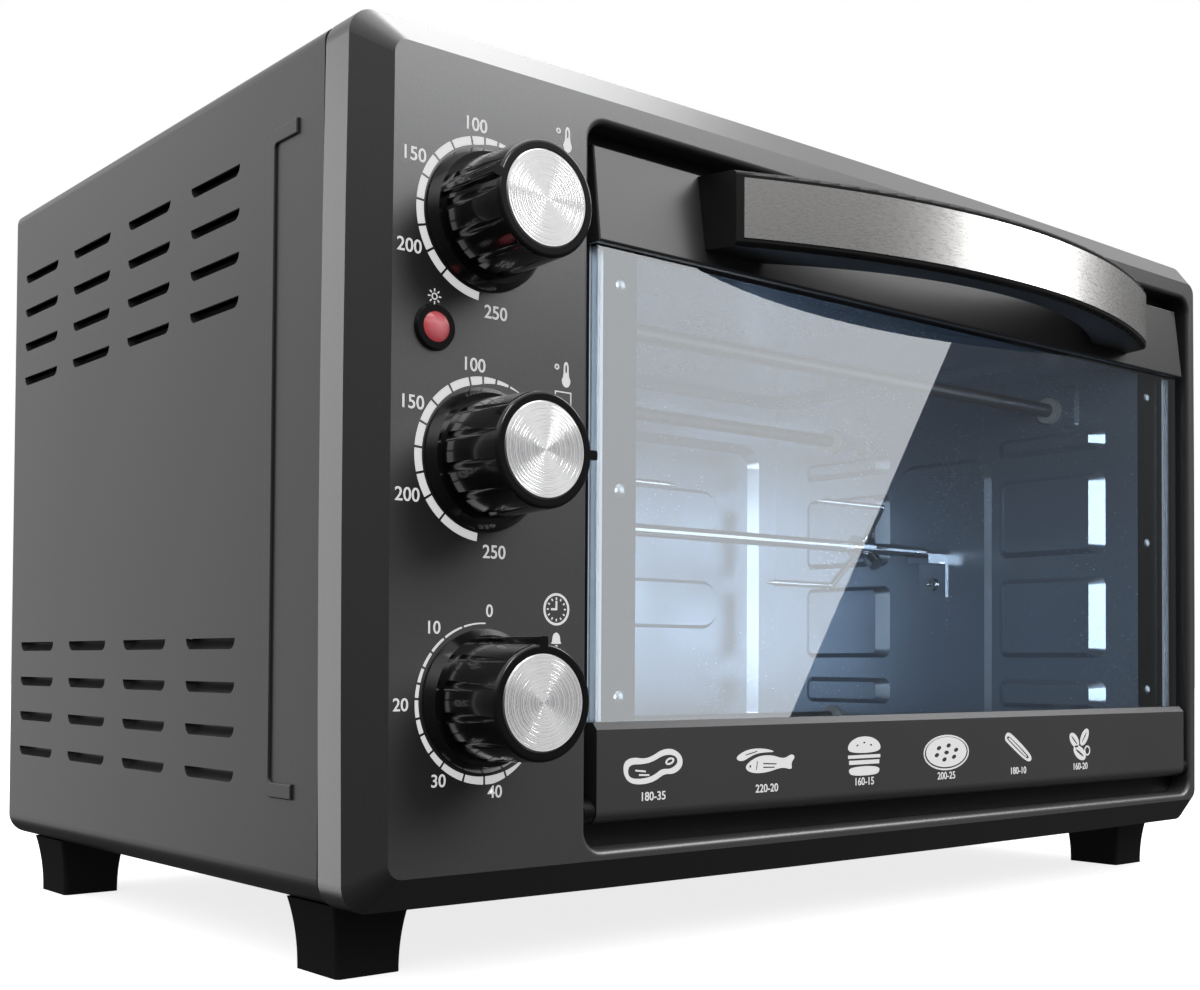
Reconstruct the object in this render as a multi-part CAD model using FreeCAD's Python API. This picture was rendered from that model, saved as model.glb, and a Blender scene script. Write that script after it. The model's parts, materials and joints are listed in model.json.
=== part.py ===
import FreeCAD, Part
import math
import os

os.makedirs("parts", exist_ok=True)
V = FreeCAD.Vector

# Countertop electric oven with three dials, a drop-down glass door and a motor-driven spit.
# Millimetres. +Z up, the door faces -Y, the control panel is at -X. The origin is the middle of
# the whole object's footprint, on the surface it stands on.

# ---- overall sizes -------------------------------------------------------------------------
body_width = 480.0          # across the front frame at mid height
body_height = 277.0         # front frame, bottom corner to top corner
body_depth = 305.0          # face of the front frame to the rear edge of the casing
foot_height = 23.3
handle_reach = 41.0         # face of the front frame to the front of the handle
sheet = 0.8                 # casing steel
liner = 0.6                 # cavity steel
fit_gap = 0.3               # play between sheets that slip into each other
run_gap = 0.05              # radial play of everything that turns
screw_radius = 1.7
screw_hole = 1.8
reach_through = 9.0         # how far a cutter runs past the sheet it cuts

# ---- front frame ---------------------------------------------------------------------------
frame_depth = 25.0
chamfer_depth = 11.0
chamfer_side = 9.5
chamfer_ends = 11.0
frame_corner = 9.0
face_corner = 5.0
crown_top = 2.0
crown_side = 1.0
crown_bottom = 1.0
frame_overhang = 0.3        # the frame hangs this far below the casing
panel_width = 85.7          # left edge of the body to the recess of the door
recess_right_margin = 15.4
recess_bottom_margin = 14.1
recess_top_margin = 18.9
recess_corner = 7.0
lip_radius = 2.0
lip_wall = 2.6              # backing behind the rounded lip of the recess

# ---- casing --------------------------------------------------------------------------------
casing_inset = 1.2
seam_width = 3.0
seam_depth = 2.0
tongue_length = 8.0
casing_top_corner = 5.0
casing_bottom_corner = 9.0
flange_width = 40.0
back_recess = 2.0
back_rim = 8.0
louvre_length = 40.0
louvre_bridge = 16.2        # least sheet left between two columns
louvre_pitch_z = 15.0
louvre_radius = 4.6
louvre_rows = 4
louvre_front_margin = 85.0
louvre_rear_margin = 11.4
louvre_top_margin = 31.2    # frame top to the top row of the upper group
louvre_low_z = 84.5         # frame bottom to the top row of the lower group
rib_y = 59.0
rib_return = 15.0
rib_low_margin = 32.6
rib_top_margin = 26.4
rib_width = 5.0
rib_height = 0.9

# ---- cavity --------------------------------------------------------------------------------
cavity_side_margin = 29.0   # recess to each side of the cavity
cavity_floor_z = 29.0       # frame bottom to the cavity floor
cavity_top_margin = 53.3    # cavity roof to the top of the frame
cavity_rear_margin = 47.7   # back of the cavity to the rear edge of the casing
guide_first_z = 45.8        # cavity floor to the lowest tray groove
guide_pitch = 52.0
guide_height = 11.4         # the groove left between two pressed pads
guide_press = 5.0
guide_slope = (6.5, 2.5)    # ends and long sides of the pads
guide_top_pad = 10.0
guide_top_room = 44.0       # least space between the top groove and the roof
guide_length = 64.0
guide_front_margin = 18.0
guide_rear_margin = 26.0
rivet_margin = 35.7
rivet_rise = 20.0           # the upper margin is smaller than the lower by this
rivet_inset = 7.0
rivet_radius = 1.5
rivet_head = (3.4, 1.0)     # radius and height of the head
rivet_tail = (2.3, 0.9)
mouth_corner = 4.0
flange_overlap = 6.0        # front frame of the cavity beyond the recess
floor_rim = 8.0
stud_size = (9.8, 22.0)     # upright bumps above the grooves
stud_place = (15.0, 17.5)   # from the pads' front end and the groove's middle
stud_press = 2.0
guide_corner = 5.0
pad_gap = 5.0
pad_low_margin = 4.0
pad_corner = 14.0
roof_inset = 30.0
roof_press = 4.0
roof_corner = 12.0
pad_press = 3.0
pad_top_margin = 36.7
back_press = 5.0
back_rib_top = 45.7         # cavity roof to the upper rib of the back wall
back_rib_pitch = 53.0
back_rib_height = 28.0
back_rib_inset = 44.0
back_rib_press = 2.0
back_pad = (14.0, 5.0, 16.0)    # back pad to the side walls, floor and roof

# ---- door ----------------------------------------------------------------------------------
door_gap_side = 4.8
door_gap_bottom = 8.5
door_gap_top = 5.8
door_front = 0.4            # behind the face of the frame
door_thickness = 8.6
door_back_gap = 0.6         # back of the door to the front frame of the cavity
door_wall = 1.0
band_edge = 0.8
band_bevel = 2.4
door_lean = 4.0             # how far the top band leans back
top_band_height = 33.7
bottom_band_height = 34.0
glass_thickness = 4.0
glass_front = 3.4
glass_hold = 12.0           # depth of glass held in each band
rail_width = 6.0
rail_wall = 1.2
rail_inset = 0.3            # rail to the inside of the door's side walls
rail_back = 0.4
open_angle = 90.0
knuckle = 12.0              # solid end of the bottom band that turns on the hinge pin
pin_radius = 2.0
pin_head = 3.2
pin_head_height = 1.4
hinge_bush_radius = 4.0
stay_radius = 21.0
stay_inset = 14.0
stay_width = 4.0
stay_thickness = 2.0
stay_stop = 3.5
stay_over = 24.0            # how far the stay sweeps beyond the door's own angle
stay_top = 84.0
packing_inset = 20.0
packing_edge = 3.0

# ---- handle --------------------------------------------------------------------------------
handle_span = 265.0
handle_flare = 5.4
handle_end_reach = 11.5
handle_height = 27.0
handle_grip = 12.0
handle_foot = 20.0
handle_centre_below_top = 14.6
handle_screw_inset = 11.0
handle_bolt = 1.5
strip_height = 21.4
strip_thickness = 1.0
strip_proud = 0.4
strip_end = 2.5
handle_edge = 1.6

# ---- controls ------------------------------------------------------------------------------
dial_x = 44.5               # left edge of the body to the dial centres
dial_top_margin = 60.7
dial_low_z = 64.5           # frame bottom to the lowest dial
dial_names = ("upper", "middle", "timer")
dial_pointer = (165.0, 0.0, 90.0)   # pointer direction, degrees up from +X
skirt_radius = 22.6
skirt_height = 3.4
knob_gap = 0.8
knob_reach = 31.5
knob_base_radius = 18.8
knob_front_radius = 17.8
knob_edge = 1.2
knob_flutes = 12
flute_radius = 2.2
flute_stop = 5.0            # front of the knob to the end of the flutes
fin_width = 3.0
fin_proud = 2.2
skirt_taper = 2.0
skirt_wall = 3.4
skirt_hollow = 2.0
disc_radius = 14.9
disc_thickness = 0.8
disc_proud = 0.2
disc_edge = 0.3
shaft_radius = 3.0
shaft_end = 6.0             # front of the knob to the end of the shaft
bush_hole = 5.0
control_back = 21.0         # depth of the thermostats behind the frame's sheet
control_wall = 1.2
control_screw_x = 12.5
control_screw_radius = 1.5
mount_plate_size = (34.0, 18.0)
thermostat_size = (24.0, 32.0)
timer_radius = 21.0
timer_depth = 26.0
bell_depth = 8.0
terminal_length = 9.0
lamp_x = 25.2
lamp_rise = 1.1             # lamp above the midpoint of the two upper dials
lamp_radius = 5.6
lamp_collar = 7.3
lamp_collar_height = 1.4
lamp_wall = 0.9
lamp_well = 6.0
lamp_barrel = 20.0
lamp_pin_length = 7.0
lens_bulge = 5.6            # radius of the lens's dome

# ---- heating and spit ----------------------------------------------------------------------
heater_radius = 3.4
heater_front_margin = 50.0
heater_rear_margin = 46.9
heater_roof_gap = 17.0
heater_floor_gap = 17.0
bush_radius = 6.5
bush_barrel = 4.6
bush_flange = 3.5
bush_length = 7.0
heater_end = 12.0           # tube beyond the cavity wall
terminal_size = (8.0, 0.8, 4.8)
heater_clearance = 9.0      # radius of the partition's holes round the heaters
spit_z = 108.3              # cavity floor to the spit
spit_radius = 3.0
spit_square = 4.2
spit_square_length = 12.0
spit_point = 9.0
spit_point_tip = 1.0
socket_radius = 6.5
socket_length = (10.0, 12.0)    # outside and inside the cavity
fork_spread = 26.0
fork_length = 46.0
fork_point = 7.0
tine_radius = 1.6
hub_radius = 6.0
hub_length = 10.0
fork_thread = 1.5
thumb_radius = 4.0
thumb_reach = (8.0, 14.0)
fork_angle = 132.0          # plane of the tines, degrees up from +Y
fork_inset = 62.0           # cavity walls to the fork hubs
support_arm = 13.0
support_leaf = 1.2
support_drop = 17.0         # spit to the screw of its support
support_leaf_size = (18.0, 19.0)
support_ledge_size = (14.0, 5.0)
support_ledge_top = 1.0     # below the spit's axis
support_clearance = 0.08
motor_shaft = 2.5
motor_offset = 9.0          # motor centre in front of its shaft
motor_ear = 28.5
motor_ear_end = 5.0
motor_ear_thickness = 1.2
gearbox_radius = 24.0
gearbox_length = 20.0
motor_radius = 19.0
motor_length = 14.0
partition_flange = 10.0
partition_gap = 16.0        # cavity wall to the partition

# ---- vents, cord inlet -----------------------------------------------------------------------
vent_length = 40.0
vent_bridge = 15.0
vent_pitch = 12.0
vent_width = 4.0
vent_rows = 3
vent_margin = 30.0          # top and bottom of the back to the first row
vent_side_room = 60.0       # width of the back beside the cavity left without slots
tall_vent_length = 50.0
tall_vent_inset = 34.0
tall_vent_room = 160.0      # height of the back left without the tall group
tall_vent_top = 80.0
back_screw_inset = (14.0, 16.0)
base_slot_length = 35.0
base_slot_pitch = 45.0
base_slot_width = 5.0
base_slot_rows = 3
base_slot_room = 120.0      # width of the base left without slots
base_first_row = 0.3        # shares of the depth
base_row_pitch = 0.2
inlet_from_left = 55.0
inlet_above_base = 60.0
grommet_barrel = 7.0
grommet_length = 7.0
grommet_flange = 9.5
grommet_bore = 4.2

# ---- feet ----------------------------------------------------------------------------------
foot_bolt = 2.2
foot_well = 5.0
foot_roof = 5.0             # above the well, where the screw's head seats
foot_edge = 1.6
foot_bottom = (23.0, 27.0)
foot_flare = 2.6
foot_inset_x = 10.6
foot_front_y = 29.8
foot_rear_margin = 18.0

# ---- places worked out from the sizes --------------------------------------------------------
y_face = (handle_reach - body_depth) / 2
y_rear = y_face + body_depth
z_base = foot_height - frame_overhang
z_top = z_base + body_height
half_corner = body_width / 2 - crown_side
casing_half = half_corner - casing_inset
casing_z0 = foot_height
casing_z1 = z_top - casing_inset
recess_x0 = panel_width - body_width / 2
recess_x1 = body_width / 2 - recess_right_margin
recess_z0 = z_base + recess_bottom_margin
recess_z1 = z_top - recess_top_margin
recess_mid = (recess_x0 + recess_x1) / 2
recess_depth = door_front + door_thickness + door_back_gap
y_flange = y_face + recess_depth                                 # front of the cavity's front frame
y_mouth = y_flange + sheet
cav_x0 = recess_x0 + cavity_side_margin
cav_x1 = recess_x1 - cavity_side_margin
cav_y0 = y_mouth
cav_y1 = y_rear - cavity_rear_margin
cav_z0 = z_base + cavity_floor_z
cav_z1 = z_top - cavity_top_margin
cavity_depth = cav_y1 - cav_y0
cavity_height = cav_z1 - cav_z0
y_inside = y_face + frame_depth + seam_width + sheet + fit_gap   # where the inner panels start
y_inner_rear = y_rear - back_recess - back_rim - 1.0             # and where they end
door_x0 = recess_x0 + door_gap_side
door_x1 = recess_x1 - door_gap_side
door_z0 = recess_z0 + door_gap_bottom
door_z1 = recess_z1 - door_gap_top
door_y0 = y_face + door_front
door_y1 = door_y0 + door_thickness
glass_y0 = y_face + glass_front
glass_y1 = glass_y0 + glass_thickness
pivot_y = (door_y0 + door_y1) / 2
pivot_z = door_z0 + door_thickness / 2
spit_at_y = (cav_y0 + cav_y1) / 2
spit_at_z = cav_z0 + spit_z
handle_z = door_z1 - handle_centre_below_top
dial_at_x = dial_x - body_width / 2
dial_top_z = z_top - dial_top_margin
dial_bottom_z = z_base + dial_low_z
dial_zs = (dial_top_z, (dial_top_z + dial_bottom_z) / 2, dial_bottom_z)
lamp_at = V(lamp_x - body_width / 2, y_face, (dial_zs[0] + dial_zs[1]) / 2 + lamp_rise)
support_screw_z = spit_at_z - support_drop
inlet_x = inlet_from_left - body_width / 2
inlet_z = z_base + inlet_above_base

saved = {}


# ---- building blocks -------------------------------------------------------------------------
def box(x0, x1, y0, y1, z0, z1):
    return Part.makeBox(x1 - x0, y1 - y0, z1 - z0, V(x0, y0, z0))


def rod(radius, start, end):
    """A round bar between two points."""
    along = end - start
    return Part.makeCylinder(radius, along.Length, start, along)


def cone(radius_a, radius_b, start, end):
    along = end - start
    return Part.makeCone(radius_a, radius_b, along.Length, start, along)


def join(shapes):
    """Fuse a list of touching shapes into one."""
    first, rest = shapes[0], shapes[1:]
    return first.fuse(rest).removeSplitter() if rest else first


def save(node, shapes):
    """Write one node; a list keeps its members as separate solids."""
    shape = Part.makeCompound(shapes) if isinstance(shapes, list) else shapes
    saved[node] = shape
    shape.exportStep("parts/" + node + ".step")


def rounded(x0, x1, z0, z1, radius, y, bulge=(0.0, 0.0, 0.0)):
    """Closed outline in an XZ plane. bulge bows the sides, bottom and top outwards."""
    side, low, high = bulge
    xm, zm = (x0 + x1) / 2, (z0 + z1) / 2
    k = radius * (1 - math.sqrt(0.5))
    stops = [
        (V(x0 + radius, y, z0), V(xm, y, z0 - low), V(x1 - radius, y, z0), V(x1 - k, y, z0 + k)),
        (V(x1, y, z0 + radius), V(x1 + side, y, zm), V(x1, y, z1 - radius), V(x1 - k, y, z1 - k)),
        (V(x1 - radius, y, z1), V(xm, y, z1 + high), V(x0 + radius, y, z1), V(x0 + k, y, z1 - k)),
        (V(x0, y, z1 - radius), V(x0 - side, y, zm), V(x0, y, z0 + radius), V(x0 + k, y, z0 + k)),
    ]
    edges = []
    for i, (a, mid, b, corner) in enumerate(stops):
        following = stops[(i + 1) % 4][0]
        straight = abs((mid - a).cross(b - a).Length) < 1e-9
        edges.append(Part.LineSegment(a, b).toShape() if straight else Part.Arc(a, mid, b).toShape())
        edges.append(Part.Arc(b, corner, following).toShape())
    return Part.Wire(edges)


def plate(wire, depth):
    """Push a closed outline back along +Y."""
    return Part.Face(wire).extrude(V(0, depth, 0))


def side_wire(x0, x1, z0, z1, low, high, y):
    """Rounded outline with its own radius for the two lower and the two upper corners."""
    kl, kh = low * (1 - math.sqrt(0.5)), high * (1 - math.sqrt(0.5))
    points = [
        (V(x0 + low, y, z0), V(x1 - low, y, z0), V(x1 - kl, y, z0 + kl)),
        (V(x1, y, z0 + low), V(x1, y, z1 - high), V(x1 - kh, y, z1 - kh)),
        (V(x1 - high, y, z1), V(x0 + high, y, z1), V(x0 + kh, y, z1 - kh)),
        (V(x0, y, z1 - high), V(x0, y, z0 + low), V(x0 + kl, y, z0 + kl)),
    ]
    edges = []
    for i, (a, b, corner) in enumerate(points):
        edges.append(Part.LineSegment(a, b).toShape())
        edges.append(Part.Arc(b, corner, points[(i + 1) % 4][0]).toShape())
    return Part.Wire(edges)


def mirror_x(shape, x):
    return shape.mirror(V(x, 0, 0), V(1, 0, 0))


def pressed(sheet_shape, x0, x1, z0, z1, radius, y, wall, depth, slope=3.0):
    """Press a flat-topped bump out of a sheet that lies in the XZ plane y..y+wall.

    A positive depth presses towards -Y, a negative one towards +Y. slope may be a pair, for the
    sides that face along X and along Z."""
    run_x, run_z = slope if isinstance(slope, tuple) else (slope, slope)
    near, far = (y, y - depth) if depth > 0 else (y + wall, y + wall - depth)
    back, hollow = (y + wall, far + wall) if depth > 0 else (y, far - wall)
    outer = Part.makeLoft([rounded(x0, x1, z0, z1, radius, near),
                           rounded(x0 + run_x, x1 - run_x, z0 + run_z, z1 - run_z,
                                   max(radius - run_z, 0.8), far)], True, True)
    inner = Part.makeLoft([rounded(x0 + wall, x1 - wall, z0 + wall, z1 - wall,
                                   max(radius - wall, 0.6), back),
                           rounded(x0 + run_x + wall, x1 - run_x - wall, z0 + run_z + wall,
                                   z1 - run_z - wall, max(radius - run_z - wall, 0.6), hollow)],
                          True, True)
    return sheet_shape.fuse(outer).cut(inner)


# ---- front frame -------------------------------------------------------------------------------
def frame_form(thick):
    """The frame's outer form, shrunk by thick."""
    bulge = (crown_side, crown_bottom, crown_top)
    flat = (crown_side / 2, crown_bottom / 2, crown_top / 2)
    rim = dict(x0=-half_corner + thick, x1=half_corner - thick, z0=z_base + thick,
               z1=z_top - thick, radius=frame_corner - thick, bulge=bulge)
    shift = thick * 0.45
    face = rounded(-half_corner + chamfer_side + shift, half_corner - chamfer_side - shift,
                   z_base + chamfer_ends + shift, z_top - chamfer_ends - shift,
                   face_corner - shift, y_face + thick, flat)
    band = rounded(y=y_face + chamfer_depth + shift, **rim)
    slope = Part.makeLoft([face, band], True, True)
    return slope.fuse(plate(band, frame_depth - chamfer_depth - shift))


def front_frame():
    body = frame_form(0.0).cut(frame_form(sheet))
    lip = plate(rounded(recess_x0 - lip_wall, recess_x1 + lip_wall, recess_z0 - lip_wall,
                        recess_z1 + lip_wall, recess_corner + lip_wall, y_face), lip_wall)
    wall = plate(rounded(recess_x0 - sheet, recess_x1 + sheet, recess_z0 - sheet,
                         recess_z1 + sheet, recess_corner + sheet, y_face), recess_depth)
    hole = plate(rounded(recess_x0, recess_x1, recess_z0, recess_z1, recess_corner,
                         y_face - 1), recess_depth + 2)
    body = join([body, lip, wall]).cut(hole)
    mouth = [e for e in body.Edges
             if abs(e.BoundBox.YMin - y_face) < 1e-4 and abs(e.BoundBox.YMax - y_face) < 1e-4
             and recess_x0 - 0.01 < e.BoundBox.XMin and e.BoundBox.XMax < recess_x1 + 0.01]
    body = body.makeFillet(lip_radius, mouth)
    through = V(0, 4, 0)
    for z in dial_zs:
        at = V(dial_at_x, y_face - 1, z)
        body = body.cut([rod(bush_hole, at, at + through)]
                        + [rod(control_screw_radius, at + V(x, 0, 0), at + V(x, 0, 0) + through)
                           for x in (-control_screw_x, control_screw_x)])
    body = body.cut(rod(lamp_radius, lamp_at - through / 2, lamp_at + through))
    for x in (recess_x0 - 2, recess_x1 - 2):
        body = body.cut(rod(pin_radius, V(x, pivot_y, pivot_z), V(x + 4, pivot_y, pivot_z)))
    return body


# ---- casing --------------------------------------------------------------------------------------
def casing_ring(inset, y0, y1, thick=sheet):
    low, high = casing_bottom_corner, casing_top_corner

    def form(extra):
        return plate(side_wire(-casing_half + inset + extra, casing_half - inset - extra,
                               casing_z0 + inset + extra, casing_z1 - inset - extra,
                               low - inset / 2 - extra, high - inset / 2 - extra, y0), y1 - y0)
    return form(0.0).cut(form(thick))


def louvre(y, z):
    """One pressed-in louvre in the -X side: a slot with a scoop below its inner edge."""
    x = -casing_half
    r = louvre_radius
    start, end = V(x, y + r, z), V(x, y + louvre_length - r, z)

    def scoop(radius, x_from):
        pill = join([rod(radius, start, end), Part.makeSphere(radius, start),
                     Part.makeSphere(radius, end)])
        return pill.common(box(x_from, x + r + 1, y - 1, y + louvre_length + 1, z - r - 1, z))
    return scoop(r, x), scoop(r - sheet, x - r - 1)


def bracket_rib():
    """A pressed C-shaped rib near the front of each side."""
    x = -casing_half
    z0, z1 = z_base + rib_low_margin, z_top - rib_top_margin
    y1 = y_face + rib_y + rib_width
    y0 = y1 - rib_width - rib_return
    outer = box(x - rib_height, x + sheet / 2, y0, y1, z0, z1)
    corners = [e for e in outer.Edges if abs(e.BoundBox.YMin - y1) < 1e-6
               and e.BoundBox.XLength > rib_height]
    outer = outer.makeFillet(rib_width + 1.5, corners)
    inner = box(x - rib_height - 1, x + sheet, y0 - 1, y1 - rib_width, z0 + rib_width,
                z1 - rib_width)
    corners = [e for e in inner.Edges if abs(e.BoundBox.YMin - (y1 - rib_width)) < 1e-6
               and e.BoundBox.XLength > rib_height]
    inner = inner.makeFillet(1.5, corners)
    rib = outer.cut(inner)
    top = [e for e in rib.Edges if abs(e.BoundBox.XMax - (x - rib_height)) < 1e-6]
    return rib.makeFillet(rib_height * 0.6, top)


def louvre_places():
    """As many columns as fit between the margins, evenly spaced, in an upper and a lower group."""
    room = body_depth - louvre_front_margin - louvre_rear_margin
    columns = int((room + louvre_bridge + 0.1) / (louvre_length + louvre_bridge))
    pitch = (room - louvre_length) / (columns - 1)
    for top in (z_top - louvre_top_margin, z_base + louvre_low_z):
        for row in range(louvre_rows):
            for column in range(columns):
                yield (y_face + louvre_front_margin + column * pitch,
                       top - row * louvre_pitch_z)


def casing():
    y_seam = y_face + frame_depth + seam_width
    skin = casing_ring(0.0, y_seam, y_rear)
    step = casing_ring(0.0, y_seam, y_seam + sheet, seam_depth + sheet)
    tongue = casing_ring(seam_depth, y_seam - seam_width - tongue_length, y_seam + sheet / 2)
    body = join([skin, step, tongue])
    scoops, slots = zip(*[louvre(y, z) for y, z in louvre_places()])
    rib = bracket_rib()
    for side in (lambda s: s, lambda s: mirror_x(s, 0)):
        body = body.fuse([side(s) for s in scoops] + [side(rib)])
        body = body.cut([side(s) for s in slots])
    gap = casing_half - flange_width
    body = body.cut(box(-gap, gap, y_face, y_rear + 1, casing_z0 - 1,
                        casing_z0 + seam_depth + 3 * sheet))
    return body.cut([rod(foot_bolt, V(x, y, casing_z0 - 1), V(x, y, casing_z0 + 3))
                     for x, y, _ in foot_places()])


def slots(x0, length, count, pitch, width, rows, row_pitch, along_y, at):
    """Rows of round-ended vent slots, as cutters through a sheet at 'at'."""
    cutters = []
    for row in range(rows):
        for i in range(count):
            a = x0 + i * pitch
            b = a + length
            v = at[1] + row * row_pitch
            ends = (V(a, at[0], v), V(b, at[0], v)) if along_y else (V(a, v, at[0]), V(b, v, at[0]))
            lift = V(0, 8, 0) if along_y else V(0, 0, 8)
            sheet_dir = V(0, 0, width / 2) if along_y else V(0, width / 2, 0)
            base = ends[0] - lift * 0.5 - sheet_dir
            size = ends[1] - ends[0] + lift + sheet_dir * 2
            cutters.append(Part.makeBox(size.x, size.y, size.z, base))
            for end in ends:
                cutters.append(rod(width / 2, end - lift * 0.5, end + lift * 0.5))
    return cutters


def base_panel():
    half = casing_half - casing_bottom_corner
    z0 = casing_z0 + sheet
    body = box(-half, half, y_inside, y_inner_rear, z0, z0 + sheet)
    count = int((half * 2 - base_slot_room) / base_slot_pitch)
    first = recess_mid - ((count - 1) * base_slot_pitch + base_slot_length) / 2
    cutters = slots(first, base_slot_length, count, base_slot_pitch, base_slot_width,
                    base_slot_rows, body_depth * base_row_pitch, False,
                    (z0, y_face + body_depth * base_first_row))
    cutters += [rod(foot_bolt, V(x, y, casing_z0 - 1), V(x, y, casing_z0 + reach_through))
                for x, y, _ in foot_places()]
    return body.cut(cutters)


def back_panel():
    y1 = y_rear - back_recess
    inset = sheet + fit_gap
    z0 = casing_z0 + sheet + fit_gap
    low, high = casing_bottom_corner - inset, casing_top_corner - inset

    def form(extra, y0, y2):
        return plate(side_wire(-casing_half + inset + extra, casing_half - inset - extra,
                               z0 + extra, casing_z1 - inset - extra, low - extra,
                               high - extra, y0), y2 - y0)
    body = form(0.0, y1 - back_rim, y1).cut(form(sheet, y1 - back_rim - 1, y1 - sheet))
    rows = int((body_height - tall_vent_room) / vent_pitch)
    left = tall_vent_inset - body_width / 2
    cutters = slots(left, tall_vent_length, 1, 0.0, vent_width, rows, vent_pitch, True,
                    (y1, z_top - tall_vent_top - rows * vent_pitch))
    step = vent_length + vent_bridge
    count = int((recess_x1 - recess_x0 - vent_side_room) / step)
    first = recess_mid - (count * step - vent_bridge) / 2
    for z in (z_base + vent_margin, z_top - vent_margin - vent_rows * vent_pitch):
        cutters += slots(first, vent_length, count, step, vent_width, vent_rows, vent_pitch,
                         True, (y1, z))
    for x, z in back_screw_places():
        cutters.append(rod(screw_hole, V(x, y1 - reach_through, z), V(x, y1 + 1, z)))
    cutters.append(rod(grommet_barrel, V(inlet_x, y1 - reach_through, inlet_z),
                       V(inlet_x, y1 + 1, inlet_z)))
    return body.cut(cutters)


def back_screw_places():
    in_x, in_z = back_screw_inset
    half = casing_half - in_x
    for x in (-half, 0.0, half):
        for z in (casing_z0 + in_z, casing_z1 - in_z):
            yield x, z


def cord_inlet():
    y1 = y_rear - back_recess
    at = V(inlet_x, 0, inlet_z)
    y0 = y1 - grommet_length
    barrel = rod(grommet_barrel, at + V(0, y0, 0), at + V(0, y1, 0))
    flange = rod(grommet_flange, at + V(0, y1, 0), at + V(0, y_rear - 0.2, 0))
    inner = rod(grommet_flange - 0.8, at + V(0, y0, 0), at + V(0, y1 - sheet - 2, 0))
    bore = rod(grommet_bore, at + V(0, y0 - 1, 0), at + V(0, y_rear + 1, 0))
    return join([barrel, flange, inner]).cut(bore)


def screw(at, direction, radius=screw_radius, head=3.6, head_height=1.6, length=6.0):
    """Pan-head screw; 'at' is the seat of the head and direction points out of the head."""
    arm, half_slot, slot_depth = 2.2, 0.4, 0.9
    body = join([rod(head, at, at + direction * head_height),
                 rod(radius, at - direction * length, at)])
    across = V(0, 0, 1) if abs(direction.z) < 0.5 else V(1, 0, 0)
    other = direction.cross(across)
    cutters = []
    for u in (across, other):
        w = direction.cross(u)
        tip = at + direction * (head_height + 1)
        corners = [tip + u * arm + w * half_slot, tip - u * arm + w * half_slot,
                   tip - u * arm - w * half_slot, tip + u * arm - w * half_slot]
        face = Part.Face(Part.makePolygon(corners + corners[:1]))
        cutters.append(face.extrude(direction * -(1 + slot_depth)))
    return body.cut(cutters)


# ---- feet ------------------------------------------------------------------------------------------
def foot_places():
    w, d = foot_bottom
    x = body_width / 2 - foot_inset_x - w / 2
    front = y_face + foot_front_y + d / 2
    rear = y_rear - foot_rear_margin - d / 2
    return [(-x, front, "front_left"), (x, front, "front_right"),
            (-x, rear, "rear_left"), (x, rear, "rear_right")]


def foot(x, y):
    w, d = foot_bottom

    def section(z, flare):
        half_w, half_d = w / 2 + flare, d / 2 + flare
        wire = rounded(x - half_w, x + half_w, -half_d, half_d, foot_edge, 0.0)
        wire.rotate(V(x, 0, 0), V(1, 0, 0), -90)
        wire.translate(V(0, y, z))
        return wire
    steps = [0.0, 0.35, 0.7, 1.0]
    body = Part.makeLoft([section(foot_height * s, foot_flare * s ** 2.2) for s in steps],
                         True, False)
    body = body.cut(rod(foot_well, V(x, y, -1), V(x, y, foot_height - foot_roof)))
    return body.cut(rod(foot_bolt, V(x, y, -1), V(x, y, foot_height + 1)))


# ---- cavity ----------------------------------------------------------------------------------------
def cavity_front_frame():
    over = flange_overlap
    body = plate(rounded(recess_x0 - over, recess_x1 + over, recess_z0 - over,
                         recess_z1 + over, recess_corner + over, y_flange), sheet)
    hole = plate(rounded(cav_x0, cav_x1, cav_z0, cav_z1, mouth_corner, y_flange - 1), sheet + 2)
    half_slot = stay_thickness / 2 + 1.6
    slots_for_stays = [box(x - half_slot, x + half_slot, y_flange - 1, y_mouth + 1,
                           pivot_z + stay_radius - stay_width - 0.2,
                           pivot_z + stay_radius + stay_width / 2 + 0.4)
                       for x in stay_places()]
    rivets = [rod(rivet_radius, V(x, y_flange - 1, z), V(x, y_mouth + 1, z))
              for x, z in rivet_places()]
    return body.cut([hole] + slots_for_stays + rivets)


def rivet_places():
    room = cavity_height - 2 * rivet_margin + rivet_rise
    for x in (cav_x0 - rivet_inset, cav_x1 + rivet_inset):
        for i in range(3):
            yield x, cav_z0 + rivet_margin + i * room / 2


def rivet(x, z):
    radius, height = rivet_head
    tail_radius, tail_height = rivet_tail
    ball = Part.makeSphere(radius, V(x, y_flange + radius - height, z))
    head = ball.common(box(x - radius, x + radius, y_flange - radius, y_flange,
                           z - radius, z + radius))
    shank = rod(rivet_radius, V(x, y_flange - height / 2, z), V(x, y_mouth, z))
    tail = rod(tail_radius, V(x, y_mouth, z), V(x, y_mouth + tail_height, z))
    return join([head, shank, tail])


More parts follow.
